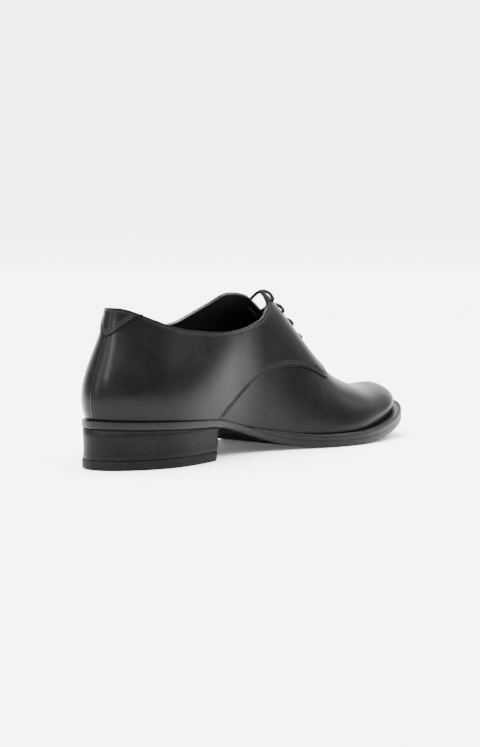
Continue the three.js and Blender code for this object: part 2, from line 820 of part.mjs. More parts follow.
const collar = collarCutter();
const shoe = new THREE.Group();
shoe.add(piece('outsole', outsole(), 'edge'));
shoe.add(piece('welt', welt(), 'edge'));
shoe.add(piece('heel_stack', heelStack(), 'edge'));
shoe.add(piece('top_lift', topLift(), 'rubber'));
shoe.add(piece('insole', insole(), 'board'));
shoe.add(piece('upper', upper(collar), 'calf'));
shoe.add(piece('heel_tab', heelTab(collar), 'calf'));
shoe.add(piece('tongue', tongue(), 'calf'));
laceStations().forEach((station, i) => {
  shoe.add(piece(`lace_bar_${i + 1}`, laceBar(station), 'cord'));
});
shoe.position.set(-HEEL_LENGTH / 2, -centreLine(HEEL_LENGTH / 2), 0);

export default shoe;
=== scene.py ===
"""Derby shoe for the left foot in black calf, dressed and lit for a studio picture.

The form is worked out in millimetres, with x from the sole's back end to the toe, y to the shoe's
outer side and z up. Last.world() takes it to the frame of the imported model, in metres.
"""
import logging
import math
from dataclasses import dataclass, field, replace
from enum import Enum
from typing import Callable

import bmesh
import bpy
import numpy as np
from mathutils import Matrix, Vector
from mathutils.bvhtree import BVHTree


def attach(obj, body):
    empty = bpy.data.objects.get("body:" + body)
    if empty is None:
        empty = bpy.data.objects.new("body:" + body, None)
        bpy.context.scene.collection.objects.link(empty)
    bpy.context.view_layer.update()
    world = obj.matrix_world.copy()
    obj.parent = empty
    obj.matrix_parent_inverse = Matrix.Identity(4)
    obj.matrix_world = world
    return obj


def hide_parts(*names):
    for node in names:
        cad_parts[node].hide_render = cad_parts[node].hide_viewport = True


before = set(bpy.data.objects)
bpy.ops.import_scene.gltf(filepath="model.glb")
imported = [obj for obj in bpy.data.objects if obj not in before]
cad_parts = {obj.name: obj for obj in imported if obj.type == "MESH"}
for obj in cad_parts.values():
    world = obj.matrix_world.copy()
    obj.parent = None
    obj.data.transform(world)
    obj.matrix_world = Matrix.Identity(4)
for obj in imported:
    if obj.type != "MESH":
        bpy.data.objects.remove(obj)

LOG = logging.getLogger("derby")
MM = 0.001
ROOT = "root"

# Outline of the sole and of the feather edge. Columns: share of the length, centre, half width of
# the sole and half width of the feather edge.
OUTLINE = (
    (0.000, 0.025, 0.000, 0.000), (0.030, 0.023, 0.257, 0.237), (0.080, 0.020, 0.408, 0.380),
    (0.150, 0.016, 0.500, 0.463), (0.250, 0.022, 0.493, 0.472), (0.350, 0.052, 0.446, 0.428),
    (0.450, 0.075, 0.381, 0.357), (0.550, 0.075, 0.395, 0.359), (0.630, 0.044, 0.468, 0.413),
    (0.700, 0.014, 0.500, 0.441), (0.780, -0.012, 0.485, 0.427), (0.860, -0.040, 0.418, 0.363),
    (0.920, -0.063, 0.338, 0.290), (0.965, -0.080, 0.235, 0.197), (0.990, -0.089, 0.131, 0.111),
    (1.000, -0.092, 0.000, 0.000),
)

# Ribs of the last. Columns: share of the last's length, bulge, wall, half width of the cone's rim,
# lean, shift, rise, cover, drop.
RIBS = (
    (0.00, 0.092, 0.252, 0.000, 0.057, 0.025, 0.756, 0.028, 0.310),
    (0.02, 0.094, 0.254, 0.079, 0.054, 0.024, 0.752, 0.043, 0.311),
    (0.08, 0.081, 0.252, 0.162, 0.040, 0.020, 0.753, 0.036, 0.311),
    (0.16, 0.066, 0.251, 0.205, 0.021, 0.010, 0.764, 0.041, 0.301),
    (0.25, 0.049, 0.250, 0.197, 0.010, 0.000, 0.786, 0.089, 0.260),
    (0.33, 0.040, 0.250, 0.148, 0.000, 0.000, 0.844, 0.157, 0.180),
    (0.40, 0.030, 0.250, 0.069, 0.000, -0.010, 0.932, 0.196, 0.060),
    (0.48, 0.025, 0.250, 0.000, 0.000, -0.022, 0.995, 0.187, 0.000),
    (0.56, 0.019, 0.228, 0.000, 0.000, -0.031, 0.941, 0.184, 0.000),
    (0.64, 0.019, 0.200, 0.000, 0.000, -0.041, 0.736, 0.197, 0.000),
    (0.72, 0.019, 0.167, 0.000, 0.000, -0.040, 0.492, 0.233, 0.000),
    (0.80, 0.026, 0.149, 0.000, 0.000, -0.049, 0.341, 0.266, 0.000),
    (0.88, 0.041, 0.128, 0.000, -0.007, -0.066, 0.250, 0.241, 0.000),
    (0.94, 0.062, 0.104, 0.000, -0.020, -0.080, 0.211, 0.204, 0.000),
    (0.98, 0.062, 0.071, 0.000, -0.039, -0.082, 0.180, 0.145, 0.000),
    (1.00, 0.050, 0.063, 0.000, -0.050, -0.084, 0.159, 0.105, 0.000),
)
CONE_END = 0.48

# Seen from the side. Columns: share of the sole's length, height over the feather line as a share
# of the instep rise.
INNER_TOPLINE = (
    (-0.050, 0.717), (0.040, 0.717), (0.063, 0.721), (0.080, 0.710), (0.102, 0.683), (0.152, 0.625),
    (0.200, 0.590), (0.243, 0.581), (0.290, 0.577), (0.345, 0.601), (0.410, 0.659), (0.457, 0.717),
    (0.487, 0.764), (0.507, 0.820), (0.523, 0.866), (0.530, 0.923), (0.532, 1.000),
)
OUTER_TOPLINE = (
    (-0.050, 0.717), (0.040, 0.717), (0.063, 0.721), (0.080, 0.710), (0.103, 0.681), (0.153, 0.619),
    (0.200, 0.587), (0.243, 0.578), (0.283, 0.585), (0.327, 0.618), (0.357, 0.653), (0.385, 0.713),
    (0.413, 0.780), (0.438, 0.844), (0.460, 0.906), (0.480, 0.930), (0.507, 0.936), (0.521, 0.945),
    (0.532, 1.000),
)
QUARTER_FRONT = (
    (0.285, -0.100), (0.307, -0.029), (0.330, 0.038), (0.356, 0.101), (0.385, 0.177), (0.414, 0.250),
    (0.443, 0.319), (0.482, 0.385), (0.520, 0.433), (0.555, 0.462), (0.599, 0.465), (0.633, 0.433),
    (0.661, 0.396), (0.674, 0.383), (0.680, 0.395), (0.686, 0.425), (0.694, 0.475),
)
HEEL_TAB_EDGE = (
    (-0.030, 0.466), (0.026, 0.472), (0.031, 0.484), (0.036, 0.512), (0.042, 0.540), (0.050, 0.568),
    (0.060, 0.596), (0.072, 0.624), (0.086, 0.654), (0.105, 0.693),
)

# Throat seen from above. Columns: share of the sole's length, centre, share of the throat's gap.
THROAT = (
    (0.532, 0.003, 1.00), (0.540, 0.003, 1.00), (0.583, 0.000, 0.93), (0.627, -0.012, 0.72),
    (0.665, -0.028, 0.45), (0.692, -0.038, 0.24), (0.699, -0.041, 0.10),
)

# Tongue. Columns: share of the last's length, width, share of the lace's room over it.
TONGUE = (
    (0.578, 0.62, 1.00), (0.583, 0.82, 1.00), (0.592, 0.95, 1.00), (0.605, 1.00, 1.00),
    (0.630, 1.00, 1.00), (0.655, 0.99, 1.00), (0.680, 0.98, 0.90), (0.705, 0.96, 0.50),
    (0.730, 0.94, 0.10), (0.755, 0.92, 0.00),
)


class Side(Enum):
    """The two halves of the shoe, with the sign of y."""

    INNER = -1
    OUTER = 1


class Row(Enum):
    """Lines along which the quarters are stitched."""

    TOPLINE = "topline"
    FACING = "facing"
    FRONT = "front"


def ramp(value: np.ndarray, start: float, end: float) -> np.ndarray:
    """Rise smoothly from 0 to 1.

    Args:
        value: Where to read the ramp.
        start: Where it leaves 0.
        end: Where it reaches 1.

    Returns:
        The ramp's heights.
    """
    t = np.clip((np.asarray(value, float) - start) / (end - start), 0, 1)
    return t ** 3 * (t * (6 * t - 15) + 10)


def unit(vectors: np.ndarray) -> np.ndarray:
    """Scale vectors to length 1.

    Args:
        vectors: Vectors along the last axis.

    Returns:
        The unit vectors.
    """
    return vectors / np.maximum(np.linalg.norm(vectors, axis=-1, keepdims=True), 1e-12)


def catmull(points: np.ndarray, steps: int) -> np.ndarray:
    """Draw a uniform Catmull-Rom curve through points.

    Args:
        points: The points that the curve passes.
        steps: Number of steps along the whole curve.

    Returns:
        The curve's points, one more than steps.
    """
    points = np.asarray(points, float)
    count = len(points)
    place = np.linspace(0, 1, steps + 1) * (count - 1)
    i = np.minimum(place.astype(int), count - 2)
    t = (place - i)[:, None]
    p0, p1 = points[np.maximum(i - 1, 0)], points[i]
    p2, p3 = points[i + 1], points[np.minimum(i + 2, count - 1)]
    v0, v1 = (p2 - p0) / 2, (p3 - p1) / 2
    return ((2 * (p1 - p2) + v0 + v1) * t ** 3
            + (3 * (p2 - p1) - 2 * v0 - v1) * t ** 2 + v0 * t + p1)


def resample(points: np.ndarray, pitch: float) -> np.ndarray:
    """Space points evenly along a line.

    Args:
        points: The line's points.
        pitch: Wanted distance between points.

    Returns:
        The line with evenly spaced points.
    """
    walked = np.concatenate([[0], np.cumsum(np.linalg.norm(np.diff(points, axis=0), axis=1))])
    count = max(int(round(walked[-1] / pitch)), 1)
    at = np.linspace(0, walked[-1], count + 1)
    return np.stack([np.interp(at, walked, points[:, k]) for k in range(points.shape[1])], -1)


class Spline:
    """Cubic spline through points, with level or with free ends."""

    def __init__(self, xs: np.ndarray, ys: np.ndarray, level: bool) -> None:
        """Solve the spline.

        Args:
            xs: Rising places.
            ys: Values at the places.
            level: Whether both ends run level.
        """
        count = len(xs)
        steps = np.diff(xs)
        matrix = np.eye(count)
        right = np.zeros(count)
        if level:
            matrix[0, :2] = 2 * steps[0], steps[0]
            matrix[-1, -2:] = steps[-1], 2 * steps[-1]
            right[0] = 6 * (ys[1] - ys[0]) / steps[0]
            right[-1] = -6 * (ys[-1] - ys[-2]) / steps[-1]
        for i in range(1, count - 1):
            matrix[i, i - 1:i + 2] = steps[i - 1], 2 * (steps[i - 1] + steps[i]), steps[i]
            right[i] = 6 * ((ys[i + 1] - ys[i]) / steps[i] - (ys[i] - ys[i - 1]) / steps[i - 1])
        self.xs, self.ys, self.steps = np.asarray(xs), np.asarray(ys), steps
        self.bend = np.linalg.solve(matrix, right)

    def __call__(self, at: np.ndarray) -> np.ndarray:
        """Read the spline.

        Args:
            at: Where to read it.

        Returns:
            Its values.
        """
        at = np.asarray(at, float)
        i = np.clip(np.searchsorted(self.xs, at, side="right") - 1, 0, len(self.steps) - 1)
        h = self.steps[i]
        a, b = (self.xs[i + 1] - at) / h, (at - self.xs[i]) / h
        cubic = (a ** 3 - a) * self.bend[i] + (b ** 3 - b) * self.bend[i + 1]
        return a * self.ys[i] + b * self.ys[i + 1] + cubic * h * h / 6


@dataclass
class Last:
    """The form that upper and sole are drawn on, with the sizes of the solid model."""

    sole_length: float = 300.0
    ball_width: float = 101.6
    heel_width: float = 67.4
    sole_thickness: float = 5.0
    welt_thickness: float = 3.5
    welt_toe_loss: float = 1.0
    heel_height: float = 26.5
    heel_slope: float = 0.045
    heel_length: float = 90.0
    toe_spring: float = 17.0
    back_inset: float = 3.0
    toe_inset: float = 6.0
    instep_rise: float = 100.0
    throat_gap: float = 12.6
    gap: float = 0.3
    columns: dict = field(default_factory=dict)

    def __post_init__(self) -> None:
        """Prepare the splines through the tables."""
        outline, ribs = np.array(OUTLINE), np.array(RIBS)
        places = self.station_of(outline[:, 0])
        self.columns["centre"] = Spline(places, outline[:, 1], True)
        self.columns["sole"] = Spline(places, outline[:, 2], False)
        self.columns["feather"] = Spline(places, outline[:, 3], False)
        places = self.station_of(ribs[:, 0])
        names = ("bulge", "wall", "top_half", "lean", "shift", "rise", "cover", "drop")
        for i, name in enumerate(names, start=1):
            self.columns[name] = Spline(places, ribs[:, i], name != "top_half")
        self.last_length = self.sole_length - self.toe_inset - self.back_inset

    @staticmethod
    def station_of(share: np.ndarray) -> np.ndarray:
        """Station, 0 at the back and 1 at the toe, of a share of the length."""
        return np.arccos(1 - 2 * np.clip(share, 0, 1)) / math.pi

    @staticmethod
    def share_of(station: np.ndarray) -> np.ndarray:
        """Share of the length at a station."""
        return (1 - np.cos(math.pi * np.asarray(station, float))) / 2

    def local_width(self, share: np.ndarray) -> np.ndarray:
        """Width that the outline's shares refer to."""
        return self.heel_width + (self.ball_width - self.heel_width) * ramp(share, 0.3, 0.6)

    def centre_line(self, x: np.ndarray) -> np.ndarray:
        """y of the sole's middle line."""
        return self.ball_width * self.columns["centre"](self.station_of(np.asarray(x) / self.sole_length))

    def tread_height(self, x: np.ndarray) -> np.ndarray:
        """Height of the sole's underside."""
        share = np.clip(np.asarray(x, float) / self.sole_length, 0, 1)
        arch = (self.heel_height - self.heel_slope * np.asarray(x)) * (1 - ramp(share, 0.235, 0.675))
        return arch + self.toe_spring * np.maximum((share - 0.71) / 0.29, 0) ** 2

    def sole_top(self, x: np.ndarray) -> np.ndarray:
        """Height of the sole's upper face."""
        return self.tread_height(x) + self.sole_thickness

    def feather_height(self, x: np.ndarray) -> np.ndarray:
        """Height of the upper's lower edge."""
        share = np.asarray(x, float) / self.sole_length
        full = self.welt_thickness - self.welt_toe_loss * ramp(share, 0.72, 1)
        return self.sole_top(x) + self.gap + (self.gap + full) * ramp(share, 0.36, 0.58)

    def sole_point(self, station: np.ndarray, side: np.ndarray) -> np.ndarray:
        """Plan point of the sole's outline."""
        share = self.share_of(station)
        half = np.maximum(self.columns["sole"](station), 0) * self.local_width(share)
        x = self.sole_length * share
        return np.stack(np.broadcast_arrays(x, self.centre_line(x) + side * half), -1)

    def feather_point(self, station: np.ndarray, side: np.ndarray) -> np.ndarray:
        """Plan point of the feather edge."""
        share = self.share_of(station)
        half = np.maximum(self.columns["feather"](station), 0) * self.local_width(share)
        x = self.back_inset + self.last_length * share
        return np.stack(np.broadcast_arrays(x, self.centre_line(x) + side * half), -1)

    def plan_normal(self, outline: Callable, station: np.ndarray, side: np.ndarray) -> np.ndarray:
        """Outward normal in the plan.

        Args:
            outline: sole_point or feather_point.
            station: Stations along the outline.
            side: Sign of y.

        Returns:
            Unit vectors in the plan.
        """
        step = 1e-3
        along = unit(outline(np.minimum(station + step, 1), side)
                     - outline(np.maximum(station - step, 0), side))
        side = np.broadcast_to(side, along.shape[:-1])
        normal = np.stack([-along[..., 1] * side, along[..., 0] * side], -1)
        station = np.broadcast_to(station, along.shape[:-1])
        normal[station <= 0] = (-1, 0)
        normal[station >= 1] = (1, 0)
        return normal

    def inset(self, outline: Callable, station: np.ndarray, side: np.ndarray,
              depth: np.ndarray) -> np.ndarray:
        """Plan point of an outline moved inwards by a depth."""
        normal = self.plan_normal(outline, station, side)
        return outline(station, side) - normal * np.asarray(depth)[..., None]

    def bare(self, station: np.ndarray, v: np.ndarray, side: np.ndarray) -> np.ndarray:
        """Point of the last, from the feather edge at v 0 to the ridge or rim at v 1.

        Args:
            station: Stations, 0 to 1.
            v: Places along the rib.
            side: Sign of y.

        Returns:
            Points along the last axis.
        """
        station, v, side = np.broadcast_arrays(
            np.asarray(station, float), np.asarray(v, float), np.asarray(side, float))
        read = {name: spline(station) for name, spline in self.columns.items()}
        share = self.share_of(station)
        foot = self.feather_point(station, side)
        out = self.plan_normal(self.feather_point, station, side)
        ground = self.feather_height(foot[..., 0])
        open_top = share < CONE_END
        half = np.where(open_top, self.ball_width * np.maximum(read["top_half"], 0), 0)
        drop = np.where(open_top, self.instep_rise * read["drop"], 0)
        bulge = self.ball_width * read["bulge"]
        top = np.stack([foot[..., 0] + self.last_length * read["lean"],
                        self.ball_width * read["shift"] + side * half,
                        ground + self.instep_rise * read["rise"]], -1)
        turn = 1 - ramp(share, 0.25, 0.42) + ramp(share, 0.82, 0.97)
        aside = unit(np.stack([out[..., 0] * turn, out[..., 1]], -1))
        cover = self.ball_width * read["cover"][..., None]
        p0 = np.concatenate([foot, ground[..., None]], -1)
        p1 = np.concatenate([foot + out * bulge[..., None],
                             (ground + self.instep_rise * read["wall"])[..., None]], -1)
        p2 = np.concatenate([top[..., :2] + aside * cover, (top[..., 2] - drop)[..., None]], -1)
        v = v[..., None]
        w = 1 - v
        return w ** 3 * p0 + 3 * w * w * v * p1 + 3 * w * v * v * p2 + v ** 3 * top

    def normal(self, station: np.ndarray, v: np.ndarray, side: np.ndarray) -> np.ndarray:
        """Outward unit normal of the last."""
        step = 2e-3
        along = (self.bare(np.minimum(station + step, 1), v, side)
                 - self.bare(np.maximum(station - step, 0), v, side))
        rise = (self.bare(station, np.minimum(v + step, 1), side)
                - self.bare(station, np.maximum(v - step, 0), side))
        normal = -np.cross(along, rise) * np.broadcast_to(side, along.shape[:-1])[..., None]
        normal[..., 2] *= ramp(v, 0, 0.15)
        return unit(normal)

    def form(self, station: np.ndarray, v: np.ndarray, side: np.ndarray,
             offset: np.ndarray) -> np.ndarray:
        """Point of the form that lies an offset outside the last.

        Args:
            station: Stations, 0 to 1.
            v: Places along the rib.
            side: Sign of y.
            offset: Distance outwards.

        Returns:
            Points along the last axis.
        """
        station, v, side, offset = np.broadcast_arrays(
            np.asarray(station, float), np.asarray(v, float), np.asarray(side, float),
            np.asarray(offset, float))
        normal = self.normal(station, v, side)
        ridge = (v >= 1) & (self.share_of(station) >= CONE_END)
        seam = ridge | (station <= 0) | (station >= 1)
        if seam.any():
            normal[seam] = unit(normal[seam] + self.normal(station[seam], v[seam], -side[seam]))
        return self.bare(station, v, side) + normal * offset[..., None]

    def locate(self, side: int, xs: np.ndarray, wanted: np.ndarray, axis: int,
               offset: float) -> np.ndarray:
        """Find the places on the form with an x and a second coordinate.

        Args:
            side: Sign of y.
            xs: Wanted x.
            wanted: Wanted second coordinate.
            axis: 1 where the second coordinate is y, 2 where it is z.
            offset: Offset of the form.

        Returns:
            Stations and v in two columns.
        """
        xs, wanted = np.asarray(xs, float), np.asarray(wanted, float)
        station = self.station_of((xs - self.back_inset) / self.last_length)
        tries = np.linspace(0.01, 0.99, 40)
        found = self.form(station[:, None], tries[None, :], side, offset)[..., axis]
        v = tries[np.argmin(np.abs(found - wanted[:, None]), axis=1)]
        step = 1e-4
        for _ in range(16):
            here = self.form(station, v, side, offset)
            ds = (self.form(station + step, v, side, offset) - here) / step
            dv = (here - self.form(station, v - step, side, offset)) / step
            miss = np.stack([xs - here[:, 0], wanted - here[:, axis]], -1)
            det = ds[:, 0] * dv[:, axis] - ds[:, axis] * dv[:, 0]
            det = np.where(np.abs(det) < 1e-9, 1e-9, det)
            a = (miss[:, 0] * dv[:, axis] - miss[:, 1] * dv[:, 0]) / det
            b = (ds[:, 0] * miss[:, 1] - ds[:, axis] * miss[:, 0]) / det
            station = np.clip(station + np.clip(a, -0.02, 0.02), 0.0005, 0.9995)
            v = np.clip(v + np.clip(b, -0.05, 0.05), 0.0005, 0.9995)
        return np.stack([station, v], -1)

    def across_ridge(self, station: float, across: np.ndarray, offset: float) -> np.ndarray:
        """Points at signed lengths of arc from the ridge, + outwards.

        Args:
            station: Station of the rib.
            across: Lengths of arc from the ridge.
            offset: Offset of the form.

        Returns:
            One point for each length.
        """
        across = np.atleast_1d(np.asarray(across, float))
        side = np.where(across < 0, -1, 1)
        v = np.linspace(1, 0, 301)
        place = np.zeros_like(across)
        for sign in (-1, 1):
            rib = self.bare(np.full_like(v, station), v, sign)
            walked = np.concatenate([[0], np.cumsum(np.linalg.norm(np.diff(rib, axis=0), axis=1))])
            place = np.where(side == sign, np.interp(np.abs(across), walked, v), place)
        return self.form(np.full_like(across, station), place, side, offset)

    def side_line(self, table: tuple, steps: int) -> np.ndarray:
        """Smooth side line through a table, as x and z."""
        rows = np.array(table)
        x = rows[:, 0] * self.sole_length
        z = self.feather_height(np.maximum(x, 0)) + rows[:, 1] * self.instep_rise
        return catmull(np.stack([x, z], -1), steps)

    def world(self, points: np.ndarray) -> np.ndarray:
        """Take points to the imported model's frame, in metres."""
        middle = self.heel_length / 2
        shift = np.array([middle, float(self.centre_line(middle)), 0.0])
        return (np.asarray(points, float) - shift) * MM


class Groups:
    """Node groups that several finishes share."""

    @staticmethod
    def new(name: str, inputs: dict, outputs: tuple) -> tuple:
        """Start a node group.

        Args:
            name: The group's name.
            inputs: Default value of each input.
            outputs: Names of the outputs.

        Returns:
            The tree, its input node and its output node.
        """
        tree = bpy.data.node_groups.new(name, "ShaderNodeTree")
        for label, value in inputs.items():
            socket = tree.interface.new_socket(label, in_out="INPUT", socket_type="NodeSocketFloat")
            socket.default_value = value
        for label in outputs:
            tree.interface.new_socket(label, in_out="OUTPUT", socket_type="NodeSocketFloat")
        return tree, tree.nodes.new("NodeGroupInput"), tree.nodes.new("NodeGroupOutput")

    @staticmethod
    def calc(tree: bpy.types.NodeTree, kind: str, first: object, second: object = None,
             third: object = None) -> bpy.types.NodeSocket:
        """Add a math node.

        Args:
            tree: Tree that gets the node.
            kind: Operation.
            first: Socket or number.
            second: Socket or number.
            third: Socket or number.

        Returns:
            The node's output.
        """
        node = tree.nodes.new("ShaderNodeMath")
        node.operation = kind
        for socket, value in zip(node.inputs, (first, second, third)):
            if isinstance(value, bpy.types.NodeSocket):
                tree.links.new(value, socket)
            elif value is not None:
                socket.default_value = value
        return node.outputs[0]

    @staticmethod
    def soft_step(tree: bpy.types.NodeTree, value: bpy.types.NodeSocket, reach: tuple,
                  levels: tuple) -> bpy.types.NodeSocket:
        """Go softly from one level to another while a value crosses a range.

        Args:
            tree: Tree that gets the node.
            value: Socket of the value.
            reach: Start and end of the range.
            levels: Level before the range and level after it.

        Returns:
            The level's socket.
        """
        node = tree.nodes.new("ShaderNodeMapRange")
        node.interpolation_type = "SMOOTHSTEP"
        for label, number in zip(("From Min", "From Max", "To Min", "To Max"), reach + levels):
            node.inputs[label].default_value = number
        tree.links.new(value, node.inputs["Value"])
        return node.outputs["Result"]

    @staticmethod
    def noise(tree: bpy.types.NodeTree, where: object, scale: object, detail: float,
              rough: float = 0.5) -> bpy.types.NodeSocket:
        """Add a noise texture read at a place.

        Args:
            tree: Tree that gets the node.
            where: Socket with the coordinates.
            scale: Socket or number.
            detail: Octaves of the noise.
            rough: Share of the finer octaves.

        Returns:
            The noise's value.
        """
        node = tree.nodes.new("ShaderNodeTexNoise")
        tree.links.new(where, node.inputs["Vector"])
        if isinstance(scale, bpy.types.NodeSocket):
            tree.links.new(scale, node.inputs["Scale"])
        else:
            node.inputs["Scale"].default_value = scale
        node.inputs["Detail"].default_value = detail
        node.inputs["Roughness"].default_value = rough
        return node.outputs[0]

    @classmethod
    def grain(cls) -> bpy.types.NodeTree:
        """Build the calf's grain: fine cells, pores and the slack of the hide.

        Returns:
            The node group, with Height and Tone.
        """
        tree, start, end = cls.new("hide_grain", {"Cells": 900.0, "Pores": 2200.0, "Slack": 45.0},
                                   ("Height", "Tone"))
        where = tree.nodes.new("ShaderNodeTexCoord").outputs["Object"]
        cells = tree.nodes.new("ShaderNodeTexVoronoi")
        cells.feature = "SMOOTH_F1"
        tree.links.new(where, cells.inputs["Vector"])
        tree.links.new(start.outputs["Cells"], cells.inputs["Scale"])
        pores = cls.noise(tree, where, start.outputs["Pores"], 2.0)
        slack = cls.noise(tree, where, start.outputs["Slack"], 3.0)
        fine = cls.calc(tree, "MULTIPLY", cells.outputs["Distance"], 0.35)
        pore = cls.calc(tree, "MULTIPLY_ADD", pores, 0.3, fine)
        tree.links.new(cls.calc(tree, "MULTIPLY_ADD", slack, 1.6, pore), end.inputs["Height"])
        tree.links.new(slack, end.inputs["Tone"])
        return tree

    @classmethod
    def wear(cls) -> bpy.types.NodeTree:
        """Build a mask of fine dust and rubbed places.

        Returns:
            The node group, with Mask.
        """
        tree, start, end = cls.new("rub_and_dust", {"Scale": 60.0, "Amount": 0.3}, ("Mask",))
        where = tree.nodes.new("ShaderNodeTexCoord").outputs["Object"]
        broad = cls.noise(tree, where, start.outputs["Scale"], 5.0, 0.65)
        specks = cls.noise(tree, where, 2600.0, 1.0)
        patch = cls.calc(tree, "MULTIPLY", broad, specks)
        lifted = cls.calc(tree, "SUBTRACT", patch, 0.2)
        tree.links.new(cls.calc(tree, "MULTIPLY", lifted, start.outputs["Amount"]), end.inputs["Mask"])
        return tree

    @classmethod
    def groove(cls) -> bpy.types.NodeTree:
        """Build the sunk line of a stitch row at a distance from an edge, in millimetres.

        Returns:
            The node group, with Height, 0 away from the line.
        """
        tree, start, end = cls.new("stitch_groove", {"Distance": 0.0, "Place": 2.0, "Width": 0.5},
                                   ("Height",))
        away = cls.calc(tree, "SUBTRACT", start.outputs["Distance"], start.outputs["Place"])
        share = cls.calc(tree, "DIVIDE", away, start.outputs["Width"])
        power = cls.calc(tree, "MULTIPLY", cls.calc(tree, "MULTIPLY", share, share), -1.0)
        bell = cls.calc(tree, "EXPONENT", power)
        tree.links.new(cls.calc(tree, "MULTIPLY", bell, -1.0), end.inputs["Height"])
        return tree


@dataclass(frozen=True)
class Finish:
    """A surface: colour, gloss and the relief that its bump gives."""

    name: str
    slot: str
    color: tuple
    roughness: float
    relief: float
    coat: float = 0.0
    coat_roughness: float = 0.2
    cells: float = 900.0
    tone: float = 0.3
    specular: float = 0.5
    grooves: tuple = ()
    stripes: float = 0.0
    braid: bool = False

    def material(self, shared: dict) -> bpy.types.Material:
        """Build the material.

        Args:
            shared: The node groups by name.

        Returns:
            The material.
        """
        material = bpy.data.materials.new(self.name)
        material.use_nodes = True
        tree = material.node_tree
        shader = tree.nodes["Principled BSDF"]
        shader.inputs["Coat Weight"].default_value = self.coat
        shader.inputs["Coat Roughness"].default_value = self.coat_roughness
        shader.inputs["Specular IOR Level"].default_value = self.specular
        grain = tree.nodes.new("ShaderNodeGroup")
        grain.node_tree = shared["grain"]
        grain.inputs["Cells"].default_value = self.cells
        wear = tree.nodes.new("ShaderNodeGroup")
        wear.node_tree = shared["wear"]
        self.paint(tree, shader, grain, wear)
        height = grain.outputs["Height"]
        if self.braid:
            height = self.braiding(tree)
        if self.stripes:
            height = self.layers(tree, height)
        bump = tree.nodes.new("ShaderNodeBump")
        bump.inputs["Strength"].default_value = 1.0
        bump.inputs["Distance"].default_value = self.relief * MM
        tree.links.new(height, bump.inputs["Height"])
        tree.links.new(self.sewn(tree, shared, bump), shader.inputs["Normal"])
        return material

    def paint(self, tree: bpy.types.NodeTree, shader: bpy.types.Node, grain: bpy.types.Node,
              wear: bpy.types.Node) -> None:
        """Colour and roughness, both changing softly over the surface.

        Args:
            tree: The material's tree.
            shader: The principled shader.
            grain: The grain group's node.
            wear: The wear group's node.
        """
        dark = tuple(c * (1 - self.tone) for c in self.color) + (1.0,)
        light = tuple(c * (1 + self.tone) for c in self.color) + (1.0,)
        mix = tree.nodes.new("ShaderNodeMix")
        mix.data_type = "RGBA"
        mix.inputs["A"].default_value = dark
        mix.inputs["B"].default_value = light
        tree.links.new(grain.outputs["Tone"], mix.inputs["Factor"])
        dust = tree.nodes.new("ShaderNodeMix")
        dust.data_type = "RGBA"
        dust.inputs["B"].default_value = (0.04, 0.039, 0.038, 1.0)
        tree.links.new(wear.outputs["Mask"], dust.inputs["Factor"])
        tree.links.new(mix.outputs["Result"], dust.inputs["A"])
        tree.links.new(dust.outputs["Result"], shader.inputs["Base Color"])
        rough = Groups.calc(tree, "MULTIPLY_ADD", grain.outputs["Tone"], 0.12, self.roughness - 0.06)
        tree.links.new(rough, shader.inputs["Roughness"])

    def braiding(self, tree: bpy.types.NodeTree) -> bpy.types.NodeSocket:
        """Height of a round braid: two sets of strands that cross on the piece's UV map.

        Args:
            tree: The material's tree.

        Returns:
            The height.
        """
        where = tree.nodes.new("ShaderNodeTexCoord").outputs["UV"]
        heights = []
        for turn in (0.9, -0.9):
            spin = tree.nodes.new("ShaderNodeMapping")
            spin.inputs["Rotation"].default_value = (0.0, 0.0, turn)
            tree.links.new(where, spin.inputs["Vector"])
            wave = tree.nodes.new("ShaderNodeTexWave")
            wave.wave_profile = "SIN"
            wave.inputs["Scale"].default_value = 0.55
            tree.links.new(spin.outputs[0], wave.inputs["Vector"])
            heights.append(wave.outputs["Fac"])
        return Groups.calc(tree, "MAXIMUM", heights[0], heights[1])

    def layers(self, tree: bpy.types.NodeTree, height: bpy.types.NodeSocket) -> bpy.types.NodeSocket:
        """Add the fine lines between a heel's layers to a height.

        Args:
            tree: The material's tree.
            height: Height without them.

        Returns:
            Height with them.
        """
        where = tree.nodes.new("ShaderNodeTexCoord").outputs["Object"]
        split = tree.nodes.new("ShaderNodeSeparateXYZ")
        tree.links.new(where, split.inputs[0])
        place = Groups.calc(tree, "DIVIDE", split.outputs["Z"], self.stripes * MM)
        within = Groups.calc(tree, "FRACT", place)
        wave = Groups.calc(tree, "ABSOLUTE", Groups.calc(tree, "SUBTRACT", within, 0.5))
        line = Groups.calc(tree, "GREATER_THAN", wave, 0.46)
        return Groups.calc(tree, "MULTIPLY_ADD", line, -0.7, height)

    def sewn(self, tree: bpy.types.NodeTree, shared: dict,
             bump: bpy.types.Node) -> bpy.types.NodeSocket:
        """Add the sunk stitch lines to the relief.

        Args:
            tree: The material's tree.
            shared: The node groups by name.
            bump: The bump node so far.

        Returns:
            The normal's socket.
        """
        normal = bump.outputs["Normal"]
        for attribute, place, width, depth in self.grooves:
            read = tree.nodes.new("ShaderNodeAttribute")
            read.attribute_name = attribute
            groove = tree.nodes.new("ShaderNodeGroup")
            groove.node_tree = shared["groove"]
            groove.inputs["Place"].default_value = place
            groove.inputs["Width"].default_value = width
            tree.links.new(read.outputs["Fac"], groove.inputs["Distance"])
            sunk = tree.nodes.new("ShaderNodeBump")
            sunk.inputs["Distance"].default_value = depth * MM
            tree.links.new(groove.outputs["Height"], sunk.inputs["Height"])
            tree.links.new(normal, sunk.inputs["Normal"])
            normal = sunk.outputs["Normal"]
        return normal


CALF_BLACK = (0.0018, 0.0018, 0.002)
